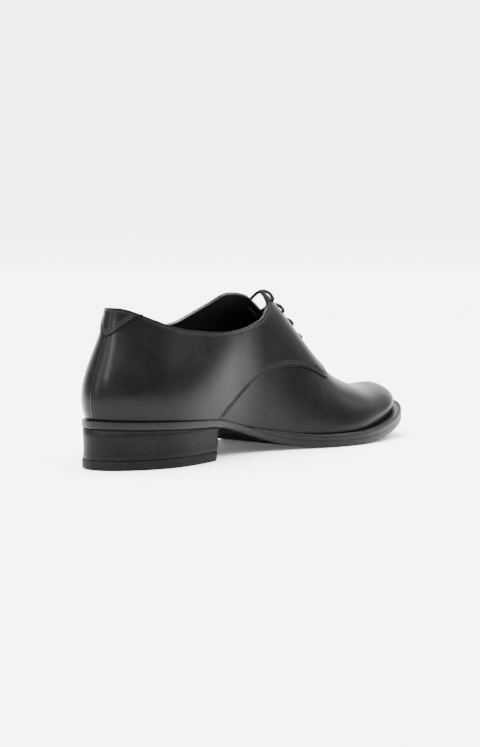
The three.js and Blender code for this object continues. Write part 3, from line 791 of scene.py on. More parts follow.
# Lines in the leather: attribute with the distance, place, width and depth, in millimetres. A
# depth below 0 stands up.
SEAM_RIDGE = ("back_mm", 0.0, 0.5, -0.5)
EDGE_ROW = ("edge_mm", 2.1, 0.55, 0.30)
FRONT_ROW = ("front_mm", 3.7, 0.5, 0.22)
CALF = Finish("black_calf", "calf", CALF_BLACK, 0.34, 0.10, coat=0.05, coat_roughness=0.2,
              specular=0.07)
CALF_SEWN = replace(CALF, name="black_calf_sewn", grooves=(EDGE_ROW, FRONT_ROW, SEAM_RIDGE))
TAB_CALF = replace(CALF, name="heel_tab_calf", grooves=(EDGE_ROW, FRONT_ROW))
LINING = Finish("lining_leather", "lining", (0.004, 0.0038, 0.0036), 0.7, 0.08, cells=700.0,
                specular=0.12)
EDGE = Finish("waxed_edge", "edge", (0.003, 0.0029, 0.0028), 0.42, 0.10, coat=0.05,
              coat_roughness=0.3, specular=0.10, cells=500.0)
HEEL = Finish("heel_layers", "edge", (0.0018, 0.0018, 0.0017), 0.5, 0.10, coat=0.03,
              specular=0.06, coat_roughness=0.35, cells=450.0, stripes=5.1)
# Underside of the sole: rougher tread leather, with a colour darker than the edge's and a weaker gloss as
# painted shade under the sole.
SHADED_TREAD = Finish("tread_leather_painted_shade", "edge", (0.0025, 0.0024, 0.0023), 0.75, 0.12, cells=400.0,
               specular=0.03)
RUBBER = Finish("heel_rubber", "rubber", (0.0045, 0.0045, 0.0048), 0.6, 0.12, specular=0.06,
                cells=800.0)
LACE = Finish("waxed_lace", "lace", (0.003, 0.003, 0.0033), 0.6, 0.2, specular=0.08, braid=True)
THREAD = Finish("black_thread", "calf", (0.0035, 0.0035, 0.0038), 0.5, 0.05, specular=0.12,
                cells=3000.0)
WELT_THREAD = Finish("welt_thread", "edge", (0.008, 0.0077, 0.0074), 0.6, 0.05, specular=0.15,
                     cells=3000.0)


class Workshop:
    """Turns meshes into named pieces with their finish, frame body and modifiers."""

    def __init__(self, last: Last) -> None:
        """Build the shared node groups.

        Args:
            last: The form that places are worked out on.
        """
        self.last = last
        self.shared = {"grain": Groups.grain(), "wear": Groups.wear(), "groove": Groups.groove()}
        self.made: dict = {}

    def finish(self, finish: Finish) -> bpy.types.Material:
        """The finish's material, built once."""
        if finish.name not in self.made:
            self.made[finish.name] = finish.material(self.shared)
        return self.made[finish.name]

    def grid(self, across: int, up: int, place: Callable, uv: tuple = (1.0, 1.0)) -> bmesh.types.BMesh:
        """Lay a grid on a surface.

        Args:
            across: Faces along u.
            up: Faces along v.
            place: Gives points in millimetres for arrays of u and v from 0 to 1.
            uv: Lengths that the UV map runs over.

        Returns:
            The mesh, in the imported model's frame.
        """
        mesh = bmesh.new()
        layer = mesh.loops.layers.uv.new("UVMap")
        bmesh.ops.create_grid(mesh, x_segments=across, y_segments=up, size=0.5)
        flat = np.array([vert.co[:2] for vert in mesh.verts]) + 0.5
        flat = np.round(np.clip(flat, 0, 1), 6)
        for face in mesh.faces:
            for loop in face.loops:
                u, v = flat[loop.vert.index]
                loop[layer].uv = (u * uv[0], v * uv[1])
        points = self.last.world(place(flat[:, 0], flat[:, 1]))
        for vert, point in zip(mesh.verts, points):
            vert.co = point
        mesh.normal_update()
        return mesh

    @staticmethod
    def turn_out(mesh: bmesh.types.BMesh, outward: np.ndarray) -> None:
        """Turn an open patch so that its middle face looks along a direction.

        Args:
            mesh: The patch.
            outward: The direction.
        """
        mesh.faces.ensure_lookup_table()
        middle = mesh.faces[len(mesh.faces) // 2]
        if middle.normal.dot(Vector(outward)) < 0:
            bmesh.ops.reverse_faces(mesh, faces=mesh.faces[:])

    @staticmethod
    def join(meshes: list) -> bmesh.types.BMesh:
        """Gather meshes into the first one."""
        whole = meshes[0]
        for other in meshes[1:]:
            kept = bpy.data.meshes.new("part")
            other.to_mesh(kept)
            whole.from_mesh(kept)
            other.free()
            bpy.data.meshes.remove(kept)
        return whole

    @staticmethod
    def close(mesh: bmesh.types.BMesh, reach: float = 0.02) -> bmesh.types.BMesh:
        """Weld doubles, fill what is open and turn all faces out.

        Args:
            mesh: The mesh to close.
            reach: Distance within which points are doubles, in millimetres.

        Returns:
            The same mesh.
        """
        bmesh.ops.remove_doubles(mesh, verts=mesh.verts[:], dist=reach * MM)
        bmesh.ops.dissolve_degenerate(mesh, edges=mesh.edges[:], dist=1e-6)
        rims = [edge for edge in mesh.edges if edge.is_boundary]
        if rims:
            bmesh.ops.holes_fill(mesh, edges=rims, sides=0)
        bmesh.ops.recalc_face_normals(mesh, faces=mesh.faces[:])
        return mesh

    def piece(self, name: str, mesh: bmesh.types.BMesh, finish: Finish, nodes: tuple = (),
              wall: float = 0.0, lining: Finish | None = None, bevel: float = 0.0,
              segments: int = 2) -> bpy.types.Object:
        """Make a piece of the shoe from a mesh.

        Args:
            name: The piece's name.
            mesh: Its mesh, which is freed.
            finish: Its finish.
            nodes: Nodes of the solid model that it stands for.
            wall: Thickness that an open patch gets inwards, in millimetres.
            lining: Second finish: of the wall's inner face, or of the faces marked 1.
            bevel: Width of the rounded edges, in millimetres.
            segments: Faces across a rounded edge.

        Returns:
            The object.
        """
        data = bpy.data.meshes.new(name)
        mesh.to_mesh(data)
        mesh.free()
        data.materials.append(self.finish(finish))
        if lining is not None:
            data.materials.append(self.finish(lining))
        data.polygons.foreach_set("use_smooth", [True] * len(data.polygons))
        obj = bpy.data.objects.new(name, data)
        bpy.context.scene.collection.objects.link(obj)
        if wall:
            solid = obj.modifiers.new("wall", "SOLIDIFY")
            solid.thickness = wall * MM
            solid.offset = -1.0
            solid.use_even_offset = False
            solid.material_offset = 1 if lining is not None else 0
            solid.material_offset_rim = 0
        if bevel:
            edge = obj.modifiers.new("rounded_edges", "BEVEL")
            edge.width = bevel * MM
            edge.segments = segments
            edge.limit_method = "ANGLE"
            edge.angle_limit = math.radians(50)
        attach(obj, ROOT)
        if nodes:
            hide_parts(*nodes)
        LOG.info("%s: %d faces", name, len(data.polygons))
        return obj

    def tube(self, points: np.ndarray, radius: float, sides: int = 12,
             flat: float = 1.0) -> bmesh.types.BMesh:
        """Sweep a round or flattened section along points.

        Args:
            points: The line, in millimetres.
            radius: Half the section's width.
            sides: Faces around.
            flat: Height of the section as a share of its width.

        Returns:
            The closed tube.
        """
        along = unit(np.gradient(points, axis=0))
        first = np.cross(along[0], (1.0, 0.3, 0.2))
        across = [first / np.linalg.norm(first)]
        for tangent in along[1:]:
            kept = across[-1] - tangent * np.dot(across[-1], tangent)
            across.append(kept / np.linalg.norm(kept))
        across = np.array(across)
        up = np.cross(along, across)
        count = len(points) - 1

        def place(u: np.ndarray, v: np.ndarray) -> np.ndarray:
            """Point of the tube's skin."""
            i = np.rint(u * count).astype(int)
            angle = (2 * math.pi * v)[:, None]
            ring = across[i] * np.cos(angle) * radius + up[i] * np.sin(angle) * radius * flat
            return points[i] + ring

        length = float(np.linalg.norm(np.diff(points, axis=0), axis=1).sum())
        mesh = self.grid(count, sides, place, uv=(length, 2 * math.pi * radius))
        return self.close(mesh)

    def stitches(self, lines: list, skin: BVHTree, pitch: float, length: float,
                 width: float = 0.55, sink: float = 0.0) -> bmesh.types.BMesh:
        """Sew stitches along lines on a skin.

        Args:
            lines: Lines in millimetres.
            skin: The surface that they lie on.
            pitch: Distance between stitches.
            length: Length of a stitch.
            width: Thickness of the thread.
            sink: Depth of the stitch's middle under the skin.

        Returns:
            One mesh of all the stitches.
        """
        mesh, done = bmesh.new(), []
        for line in lines:
            points = self.last.world(resample(line, pitch))
            places = [skin.find_nearest(Vector(point)) for point in points]
            for (start, normal, _, _), (stop, other, _, _) in zip(places, places[1:]):
                if len(mesh.faces) > 1500:
                    done.append(mesh)
                    mesh = bmesh.new()
                along = (stop - start).normalized()
                up = (normal + other).normalized()
                aside = up.cross(along).normalized()
                up = along.cross(aside).normalized()
                matrix = Matrix.Identity(4)
                for column, (axis, size) in enumerate(((along, length), (aside, width), (up, width))):
                    for k in range(3):
                        matrix[k][column] = axis[k] * size * MM / 2
                middle = (start + stop) / 2 + up * (width * 0.25 - sink) * MM
                matrix.translation = middle
                bmesh.ops.create_uvsphere(mesh, u_segments=8, v_segments=5, radius=1.0, matrix=matrix)
        return self.join(done + [mesh])


class Border:
    """Line on the form as stations and v, read by its share of length."""

    def __init__(self, last: Last, side: int, places: np.ndarray, offset: float) -> None:
        """Measure the line.

        Args:
            last: The form.
            side: Sign of y.
            places: Stations and v.
            offset: Offset at which the length is measured.
        """
        self.places = places
        self.points = last.form(places[:, 0], places[:, 1], side, offset)
        steps = np.linalg.norm(np.diff(self.points, axis=0), axis=1)
        walked = np.concatenate([[0], np.cumsum(steps)])
        self.share = walked / walked[-1]

    def __call__(self, at: np.ndarray) -> np.ndarray:
        """Stations and v at shares of the length."""
        return np.stack([np.interp(at, self.share, self.places[:, k]) for k in range(2)], -1)


def patch(bottom: Border, right: Border, top: Border, left: Border, u: np.ndarray,
          v: np.ndarray, pull: float = 6.0) -> np.ndarray:
    """Fill the space between four borders.

    Args:
        bottom: Border at v 0.
        right: Border at u 1.
        top: Border at v 1.
        left: Border at u 0.
        u: Places across.
        v: Places up.
        pull: How fast the side borders' shape dies away inwards.

    Returns:
        Stations and v of the form.
    """
    a, b, c, d = bottom.places[0], bottom.places[-1], top.places[-1], top.places[0]
    uu, vv = u[:, None], v[:, None]
    ruled = (1 - vv) * bottom(u) + vv * top(u)
    ruled += uu ** pull * (right(v) - (1 - vv) * b - vv * c)
    return ruled + (1 - uu) ** pull * (left(v) - (1 - vv) * a - vv * d)


@dataclass
class Upper:
    """Vamp, quarters, heel tab and tongue."""

    shop: Workshop
    # Heights of the skins over the form, and the wall, in millimetres.
    vamp_offset: float = -0.4
    quarter_offset: float = 0.6
    tab_offset: float = 1.6
    wall: float = 1.6
    tab_wall: float = 0.9
    # Eyelets, lace and tongue, in millimetres.
    eyelet_radius: float = 1.2
    eyelet_inset: float = 6.5
    lace_rows: int = 4
    lace_top: float = 6.0
    lace_pitch: float = 14.4
    lace_diameter: float = 2.4
    lace_slack: float = 0.7
    lace_clearance: float = 0.25
    lace_sides: int = 14
    tongue_width: float = 38.0
    tongue_thickness: float = 1.6
    # Borders: the tip's row in QUARTER_FRONT, points of the border behind the front, points up the
    # back, and the x in millimetres where the outer topline leaves the side view.
    tip_row: int = 13
    level_points: int = 60
    rim_points: int = 400
    outer_limit: float = 141.0
    # Faces along and up of each skin.
    quarter_grid: tuple = (190, 74)
    vamp_grid: tuple = (150, 60)
    tab_grid: tuple = (44, 24)
    tongue_grid: tuple = (36, 24)
    # Rounded edges, in millimetres.
    folded_edge: float = 0.8
    tab_edge: float = 0.35
    vamp_edge: float = 0.4
    tongue_edge: float = 0.5
    # Vamp: how far it reaches under the quarters, in v, and the smoothing at the toe.
    vamp_lap: float = 0.10
    toe_blend: float = 26.0
    toe_rounds: int = 30
    # Stitch rows: distance from the edge, pitch, length and thread, in millimetres.
    edge_row: float = EDGE_ROW[1]
    second_row: float = FRONT_ROW[1]
    tab_rows: tuple = (1.3, 2.9)
    tab_top_row: float = 2.2
    stitch_pitch: float = 2.0
    stitch_length: float = 1.6
    tab_pitch: float = 1.9
    tab_stitch: float = 1.5
    thread: float = 0.5
    # Bar tacks: distances behind the front, rise and run; pitch, length and thread.
    tack_shifts: tuple = (3.0, 3.7, 4.4)
    tack_rise: tuple = (0.0, 0.0, 5.0)
    tack_run: tuple = (-1.2, 0.0, 3.6)
    tack_sizes: tuple = (3.6, 3.4, 0.6)
    # Kept between the steps: the quarters' skin, edge lines and borders.
    skin: BVHTree | None = None
    lines: dict = field(default_factory=dict)
    borders: dict = field(default_factory=dict)

    @property
    def last(self) -> Last:
        """The form."""
        return self.shop.last

    def throat_edge(self, side: int) -> np.ndarray:
        """Edge of a facing seen from above, as x and y, from its foot to its top corner."""
        rows = np.array(THROAT)[::-1]
        y = rows[:, 1] * self.last.ball_width + side * rows[:, 2] * self.last.throat_gap / 2
        return catmull(np.stack([rows[:, 0] * self.last.sole_length, y], -1), 60)

    def on_form(self, side: int, line: np.ndarray) -> np.ndarray:
        """Find the places of a side line, without the points that miss the form.

        Args:
            side: Sign of y.
            line: The line's x and z.

        Returns:
            Stations and v.
        """
        found = self.last.locate(side, line[:, 0], line[:, 1], 2, self.quarter_offset)
        solved = self.last.form(found[:, 0], found[:, 1], side, self.quarter_offset)
        return found[np.hypot(solved[:, 0] - line[:, 0], solved[:, 2] - line[:, 1]) < 0.1]

    def quarter_borders(self, side: int) -> tuple:
        """Find the four borders of a quarter.

        Args:
            side: Sign of y.

        Returns:
            The bottom, right, top and left border.
        """
        if side in self.borders:
            return self.borders[side]
        last, offset = self.last, self.quarter_offset
        edge = self.throat_edge(side)
        right = last.locate(side, edge[:, 0], edge[:, 1], 1, offset)
        front = last.side_line(QUARTER_FRONT, 90)
        front = front[front[:, 1] > last.feather_height(front[:, 0]) + 0.5]
        found = self.on_form(side, front)
        feather = np.linspace(0, found[0, 0] - 0.004, self.level_points)
        level = np.stack([feather, np.zeros(self.level_points)], -1)
        solved = last.form(found[:, 0], found[:, 1], side, offset)
        tip = int(np.argmin(np.abs(solved[:, 0] - QUARTER_FRONT[self.tip_row][0] * last.sole_length)))
        bottom = np.concatenate([level, found[:tip + 1]])
        right = np.concatenate([found[tip:], right])
        corner = last.form(right[-1:, 0], right[-1:, 1], side, offset)[0]
        table = INNER_TOPLINE if side < 0 else OUTER_TOPLINE
        line = last.side_line(table, 160)
        rim = np.linspace(0, 1, self.rim_points)
        back = last.form(np.zeros(self.rim_points), rim, side, offset)
        back_v = float(rim[np.argmin(np.abs(back[:, 2] - line[20, 1]))])
        back_x = back[np.argmin(np.abs(rim - back_v)), 0]
        usable = (line[:, 0] > back_x + 1.5) & (line[:, 0] < corner[0] - 0.3)
        usable &= (line[:, 0] < self.outer_limit) | (side < 0)
        top = self.on_form(side, line[usable])
        top = np.concatenate([[[0.0, back_v]], top, right[-1:]])
        left = np.stack([np.zeros(40), np.linspace(0, back_v, 40)], -1)
        lines = (bottom, right, top, left)
        self.borders[side] = tuple(Border(last, side, places, offset) for places in lines)
        return self.borders[side]

    def lace_stations(self) -> list:
        """Stations of the lace rows, evenly spaced below the facings' top corners."""
        last = self.last
        start = INNER_TOPLINE[-1][0] * last.sole_length
        first = float(last.station_of((start - last.back_inset) / last.last_length))
        stations = np.arange(first, 0.8, 1e-3)
        ridge = last.bare(stations, np.ones_like(stations), 1)
        walked = np.concatenate([[0], np.cumsum(np.linalg.norm(np.diff(ridge, axis=0), axis=1))])
        wanted = self.lace_top + self.lace_pitch * np.arange(self.lace_rows)
        return [float(value) for value in np.interp(wanted, walked, stations)]

    def eyelet_place(self, station: float, side: int) -> float:
        """Signed length of arc from the ridge to an eyelet."""
        last = self.last
        along = float(last.bare(np.array([station]), np.array([1.0]), 1)[0, 0]) / last.sole_length
        rows = np.array(THROAT)
        centre = float(np.interp(along, rows[:, 0], rows[:, 1])) * last.ball_width
        gap = float(np.interp(along, rows[:, 0], rows[:, 2])) * last.throat_gap
        ridge = last.ball_width * float(last.columns["shift"](station))
        return centre - ridge + side * (gap / 2 + self.eyelet_inset)

    def punch(self, mesh: bmesh.types.BMesh, side: int) -> None:
        """Punch a facing's eyelets into its mesh.

        Args:
            mesh: The quarter's patch.
            side: Sign of y.
        """
        radius = self.eyelet_radius * MM
        for station in self.lace_stations():
            across = self.eyelet_place(station, side)
            place = self.last.across_ridge(station, across, self.quarter_offset)[0]
            centre = Vector(self.last.world(place))
            inside = [v for v in mesh.verts if (v.co - centre).length < radius * 1.15]
            bmesh.ops.delete(mesh, geom=inside, context="VERTS")
            for vert in mesh.verts:
                away = vert.co - centre
                if vert.is_boundary and away.length < radius * 2.2:
                    vert.co = centre + away.normalized() * radius

    def measure(self, mesh: bmesh.types.BMesh, name: str, lines: list) -> None:
        """Store each point's distance from lines, in millimetres.

        Args:
            mesh: The mesh that gets the values.
            name: The attribute's name.
            lines: Lines in millimetres.
        """
        layer = mesh.verts.layers.float.new(name)
        samples = self.last.world(np.concatenate([resample(line, 1.0) for line in lines]))
        points = np.array([vert.co[:] for vert in mesh.verts])
        for vert, point in zip(mesh.verts, points):
            gaps = samples - point
            vert[layer] = float(np.sqrt((gaps * gaps).sum(1).min())) / MM

    def quarters(self) -> None:
        """Both quarters with their facings, folded edges, eyelets and stitch rows."""
        meshes = []
        for side in (Side.INNER.value, Side.OUTER.value):
            borders = self.quarter_borders(side)
            bottom, right, top, _ = borders

            def place(u: np.ndarray, v: np.ndarray) -> np.ndarray:
                """Point of the quarter."""
                found = patch(*borders, u, v)
                found = np.clip(found, 0, 1)
                found[u == 0, 0] = 0.0
                return self.last.form(found[:, 0], found[:, 1], side, self.quarter_offset)

            mesh = self.shop.grid(*self.quarter_grid, place)
            self.shop.turn_out(mesh, (0.0, float(side), 0.0))
            self.punch(mesh, side)
            meshes.append(mesh)
            self.lines[side] = {Row.TOPLINE: top.points, Row.FACING: right.points,
                                Row.FRONT: bottom.points[self.level_points - 1:]}
        whole = self.shop.join(meshes)
        bmesh.ops.remove_doubles(whole, verts=whole.verts[:], dist=0.01 * MM)
        both = [self.lines[side.value] for side in Side]
        self.measure(whole, "edge_mm", [line for rows in both for line in rows.values()])
        self.measure(whole, "front_mm", [rows[Row.FRONT] for rows in both])
        self.measure(whole, "back_mm", [self.back_seam()])
        self.skin = BVHTree.FromBMesh(whole)
        self.shop.piece("quarters", whole, CALF_SEWN, nodes=("upper",),
                        wall=self.quarter_offset - self.vamp_offset + self.wall, lining=LINING,
                        bevel=self.folded_edge, segments=3)

    def back_seam(self) -> np.ndarray:
        """The seam that joins the quarters at the back."""
        v = np.linspace(0, 0.9, 60)
        return self.last.form(np.zeros(60), v, 1, self.quarter_offset)

    def vamp(self) -> None:
        """Vamp, with its wings under the quarters."""
        last, meshes = self.last, []
        for side in (Side.INNER.value, Side.OUTER.value):
            bottom = self.quarter_borders(side)[0]
            cover = bottom.places[self.level_points - 1:]
            start = float(cover[0, 0]) - 0.02
            foot = float(cover[-1, 0]) - 0.012

            def place(u: np.ndarray, v: np.ndarray) -> np.ndarray:
                """Point of the vamp's half, u from the wing's end to the toe."""
                station = start + (1 - start) * u
                reach = np.interp(station, cover[:, 0], cover[:, 1]) + self.vamp_lap
                limit = np.where(station < foot - 0.004, np.clip(reach, 0.08, 0.93), 1.0)
                return last.form(station, v * limit, side, self.vamp_offset)

            mesh = self.shop.grid(*self.vamp_grid, place)
            self.shop.turn_out(mesh, (0.3, float(side), 0.6))
            meshes.append(mesh)
        whole = self.shop.join(meshes)
        bmesh.ops.remove_doubles(whole, verts=whole.verts[:], dist=0.02 * MM)
        self.soften_toe(whole)
        self.shop.piece("vamp", whole, CALF, wall=self.wall - 0.3, lining=LINING,
                        bevel=self.vamp_edge)

    def soften_toe(self, mesh: bmesh.types.BMesh) -> None:
        """Smooth the ridge where it runs out over the toe.

        Args:
            mesh: The vamp's mesh.
        """
        end = Vector(self.last.world(self.last.bare(np.array([1.0]), np.array([1.0]), 1)[0]))
        reach = self.toe_blend * MM
        near = [v for v in mesh.verts if (v.co - end).length < reach and not v.is_boundary]
        for _ in range(self.toe_rounds):
            bmesh.ops.smooth_vert(mesh, verts=near, factor=0.5, use_axis_x=True, use_axis_y=True,
                                  use_axis_z=True)

    def heel_tab(self) -> None:
        """Tab over the top of the back seam, with two stitch rows."""
        last = self.last
        edge_line = last.side_line(HEEL_TAB_EDGE, 60)
        meshes, edges, tops = [], [], []
        for side in (Side.INNER.value, Side.OUTER.value):
            offset = self.tab_offset
            found = last.locate(side, edge_line[:, 0], edge_line[:, 1], 2, offset)
            solved = last.form(found[:, 0], found[:, 1], side, offset)
            good = (np.abs(solved[:, 0] - edge_line[:, 0]) < 0.05) & (found[:, 0] > 0.004)
            found = found[good]
            _, _, top, _ = self.quarter_borders(side)
            low_v = float(found[0, 1])
            reach = float(np.interp(found[-1, 0], top.places[:, 0], top.places[:, 1]))
            end = found[-1].copy()
            end[1] = min(end[1], reach) - 0.012
            low = np.concatenate([[[0.0, low_v]], found[:-1], [end]])
            keep = top.places[top.places[:, 0] < end[0]]
            high = np.concatenate([keep, [end + (0.0005, 0.001)]])
            bottom = Border(last, side, low, offset)
            ceiling = Border(last, side, high, offset)

            def place(u: np.ndarray, v: np.ndarray) -> np.ndarray:
                """Point of the tab's half."""
                places = bottom(u) * (1 - v[:, None]) + ceiling(u) * v[:, None]
                places[u == 0, 0] = 0.0
                return last.form(places[:, 0], places[:, 1], side, offset)

            mesh = self.shop.grid(*self.tab_grid, place)
            self.shop.turn_out(mesh, (-0.7, 0.7 * side, 0.0))
            meshes.append(mesh)
            edges.append(bottom.points)
            tops.append(ceiling.points)
        whole = self.shop.join(meshes)
        bmesh.ops.remove_doubles(whole, verts=whole.verts[:], dist=0.01 * MM)
        self.measure(whole, "edge_mm", edges + tops)
        self.measure(whole, "front_mm", edges)
        skin = BVHTree.FromBMesh(whole)
        self.shop.piece("heel_tab_skin", whole, TAB_CALF, nodes=("heel_tab",), wall=self.tab_wall,
                        bevel=self.tab_edge)
        rows = [self.beside(line, self.tab_rows[0], skin)[2:-5] for line in edges]
        rows += [self.beside(line, self.tab_rows[1], skin)[5:-7] for line in edges]
        rows += [self.beside(line, self.tab_top_row, skin)[:-5] for line in tops]
        thread = self.shop.stitches(rows, skin, self.tab_pitch, self.tab_stitch, self.thread)
        self.shop.piece("heel_tab_stitches", thread, THREAD)

    def beside(self, line: np.ndarray, distance: float, skin: BVHTree) -> np.ndarray:
        """Move a border inwards over its skin.

        Args:
            line: The border, in millimetres.
            distance: How far, in millimetres.
            skin: The skin that it bounds.

        Returns:
            The moved line, in millimetres.
        """
        line = resample(line, 1.0)
        along = unit(np.gradient(line, axis=0))
        found = [skin.find_nearest(Vector(point)) for point in self.last.world(line)]
        normal = np.array([hit[1][:] for hit in found])
        aside = unit(np.cross(normal, along))
        tries = [line + aside * distance, line - aside * distance]
        misses = [sum(skin.find_nearest(Vector(p))[3] for p in self.last.world(t)) for t in tries]
        moved = tries[int(np.argmin(misses))]
        smooth = moved.copy()
        for _ in range(4):
            smooth[1:-1] = (smooth[:-2] + 2 * smooth[1:-1] + smooth[2:]) / 4
        return smooth

    def sew(self) -> None:
        """Stitch rows along the quarters' edges, and a bar tack at each facing's foot."""
        rows, tacks = [], []
        for side in Side:
            lines = self.lines[side.value]
            rows.append(self.beside(lines[Row.TOPLINE], self.edge_row, self.skin)[16:])
            rows.append(self.beside(lines[Row.FACING], self.edge_row, self.skin)[2:])
            rows.append(self.beside(lines[Row.FRONT], self.edge_row, self.skin)[1:-2])
            rows.append(self.beside(lines[Row.FRONT], self.second_row, self.skin)[1:-4])
            tip = np.array(QUARTER_FRONT[self.tip_row - 1])
            tip_x = tip[0] * self.last.sole_length
            tip_z = float(self.last.feather_height(tip_x)) + tip[1] * self.last.instep_rise
            front = lines[Row.FRONT]
            nearest = int(np.argmin(np.hypot(front[:, 0] - tip_x, front[:, 2] - tip_z)))
            ahead = unit(front[nearest + 1] - front[nearest - 1])
            for shift in self.tack_shifts:
                start = front[nearest] - ahead * shift + np.array(self.tack_rise)
                tacks.append(np.stack([start, start + np.array(self.tack_run)]))
        thread = self.shop.stitches(rows, self.skin, self.stitch_pitch, self.stitch_length,
                                    self.thread)
        self.shop.piece("quarter_stitches", thread, THREAD)
        thread = self.shop.stitches(tacks, self.skin, *self.tack_sizes)
        self.shop.piece("bar_tacks", thread, THREAD)
        seam = self.back_seam()[26:46]
        thread = self.shop.stitches([seam], self.skin, self.stitch_pitch, self.tab_stitch,
                                    self.thread)
        self.shop.piece("back_seam_stitches", thread, THREAD)

    def tongue(self) -> None:
        """Tongue under the facings and the lace."""
        last = self.last
        rows = np.array(TONGUE)
        lace = self.lace_diameter + last.gap
        inner = self.vamp_offset - self.wall - last.gap
        steps = self.tongue_grid[0]
        at = catmull(rows, steps)

        def place(u: np.ndarray, v: np.ndarray) -> np.ndarray:
            """Point of the tongue's face, u along it and v across."""
            found = np.zeros((len(u), 3))
            row = np.rint(u * steps).astype(int)
            for i, (share, width, room) in enumerate(at):
                here = row == i
                arc = 0.03 * last.ball_width + (v[here] - 0.5) * width * self.tongue_width
                station = float(last.station_of(share))
                found[here] = last.across_ridge(station, arc, inner - room * lace)
            return found

        mesh = self.shop.grid(*self.tongue_grid, place)
        self.shop.turn_out(mesh, (0.2, 0.0, 1.0))
        self.shop.piece("tongue_leather", mesh, CALF, nodes=("tongue",), wall=self.tongue_thickness,
                        lining=LINING, bevel=self.tongue_edge)

    def eyelet_points(self, row: int, side: int) -> tuple:
        """Points outside and inside an eyelet of a row, 0 the top one."""
        station = self.lace_stations()[row]
        across = self.eyelet_place(station, side)
        radius = self.lace_diameter / 2
        depth = self.vamp_offset - self.wall - radius - self.lace_clearance
        outside = self.last.across_ridge(station, across, self.quarter_offset + radius * 0.55)[0]
        inside = self.last.across_ridge(station, across, depth)[0]
        return outside, inside

    def lace_run(self, row: int) -> list:
        """Points of a bar over the throat, from the inner to the outer eyelet."""
        station = self.lace_stations()[row]
        inner, outer = (self.eyelet_place(station, side.value) for side in Side)
        radius = self.lace_diameter / 2
        shares = np.array((0.12, 0.25, 0.4, 0.5, 0.6, 0.75, 0.88))
        height = self.quarter_offset + radius + 0.15 + np.sin(math.pi * shares) * self.lace_slack
        return list(self.last.across_ridge(station, inner + (outer - inner) * shares, height))

    def under(self, start: int, stop: int, side: int) -> list:
        """Points of a run under a facing between two rows' eyelets."""
        stations = self.lace_stations()
        places = np.interp(np.linspace(start, stop, 7)[1:-1], range(len(stations)), stations)
        depth = self.vamp_offset - self.wall - self.lace_diameter / 2 - self.lace_clearance
        return [self.last.across_ridge(station, self.eyelet_place(station, side), depth)[0]
                for station in places]

    def lace(self) -> None:
        """One lace through all the eyelets: straight bars outside, steps under the facings."""
        inner, outer = Side.INNER.value, Side.OUTER.value
        opposite = {inner: outer, outer: inner}
        bars = ((0, inner), (2, outer), (self.lace_rows - 1, inner), (1, outer))
        path = []
        for step, (row, side) in enumerate(bars):
            far = opposite[side]
            bar = self.lace_run(row)
            path += self.eyelet_points(row, side)[::-1]
            path += bar if side == inner else bar[::-1]
            path += self.eyelet_points(row, far)
            if step < len(bars) - 1:
                path += self.under(row, bars[step + 1][0], far)
        line = resample(catmull(np.array(path), 900), 0.8)
        length = float(np.linalg.norm(np.diff(line, axis=0), axis=1).sum())
        LOG.info("lace runs over %.0f mm", length)
        nodes = tuple(f"lace_bar_{i + 1}" for i in range(self.lace_rows))
        skin = self.shop.tube(line, self.lace_diameter / 2, self.lace_sides)
        self.shop.piece("lace", skin, LACE, nodes=nodes)

    def build(self) -> None:
        """Build and dress the upper."""
        self.quarters()
        self.vamp()
        self.heel_tab()
        self.sew()
        self.tongue()
        self.lace()


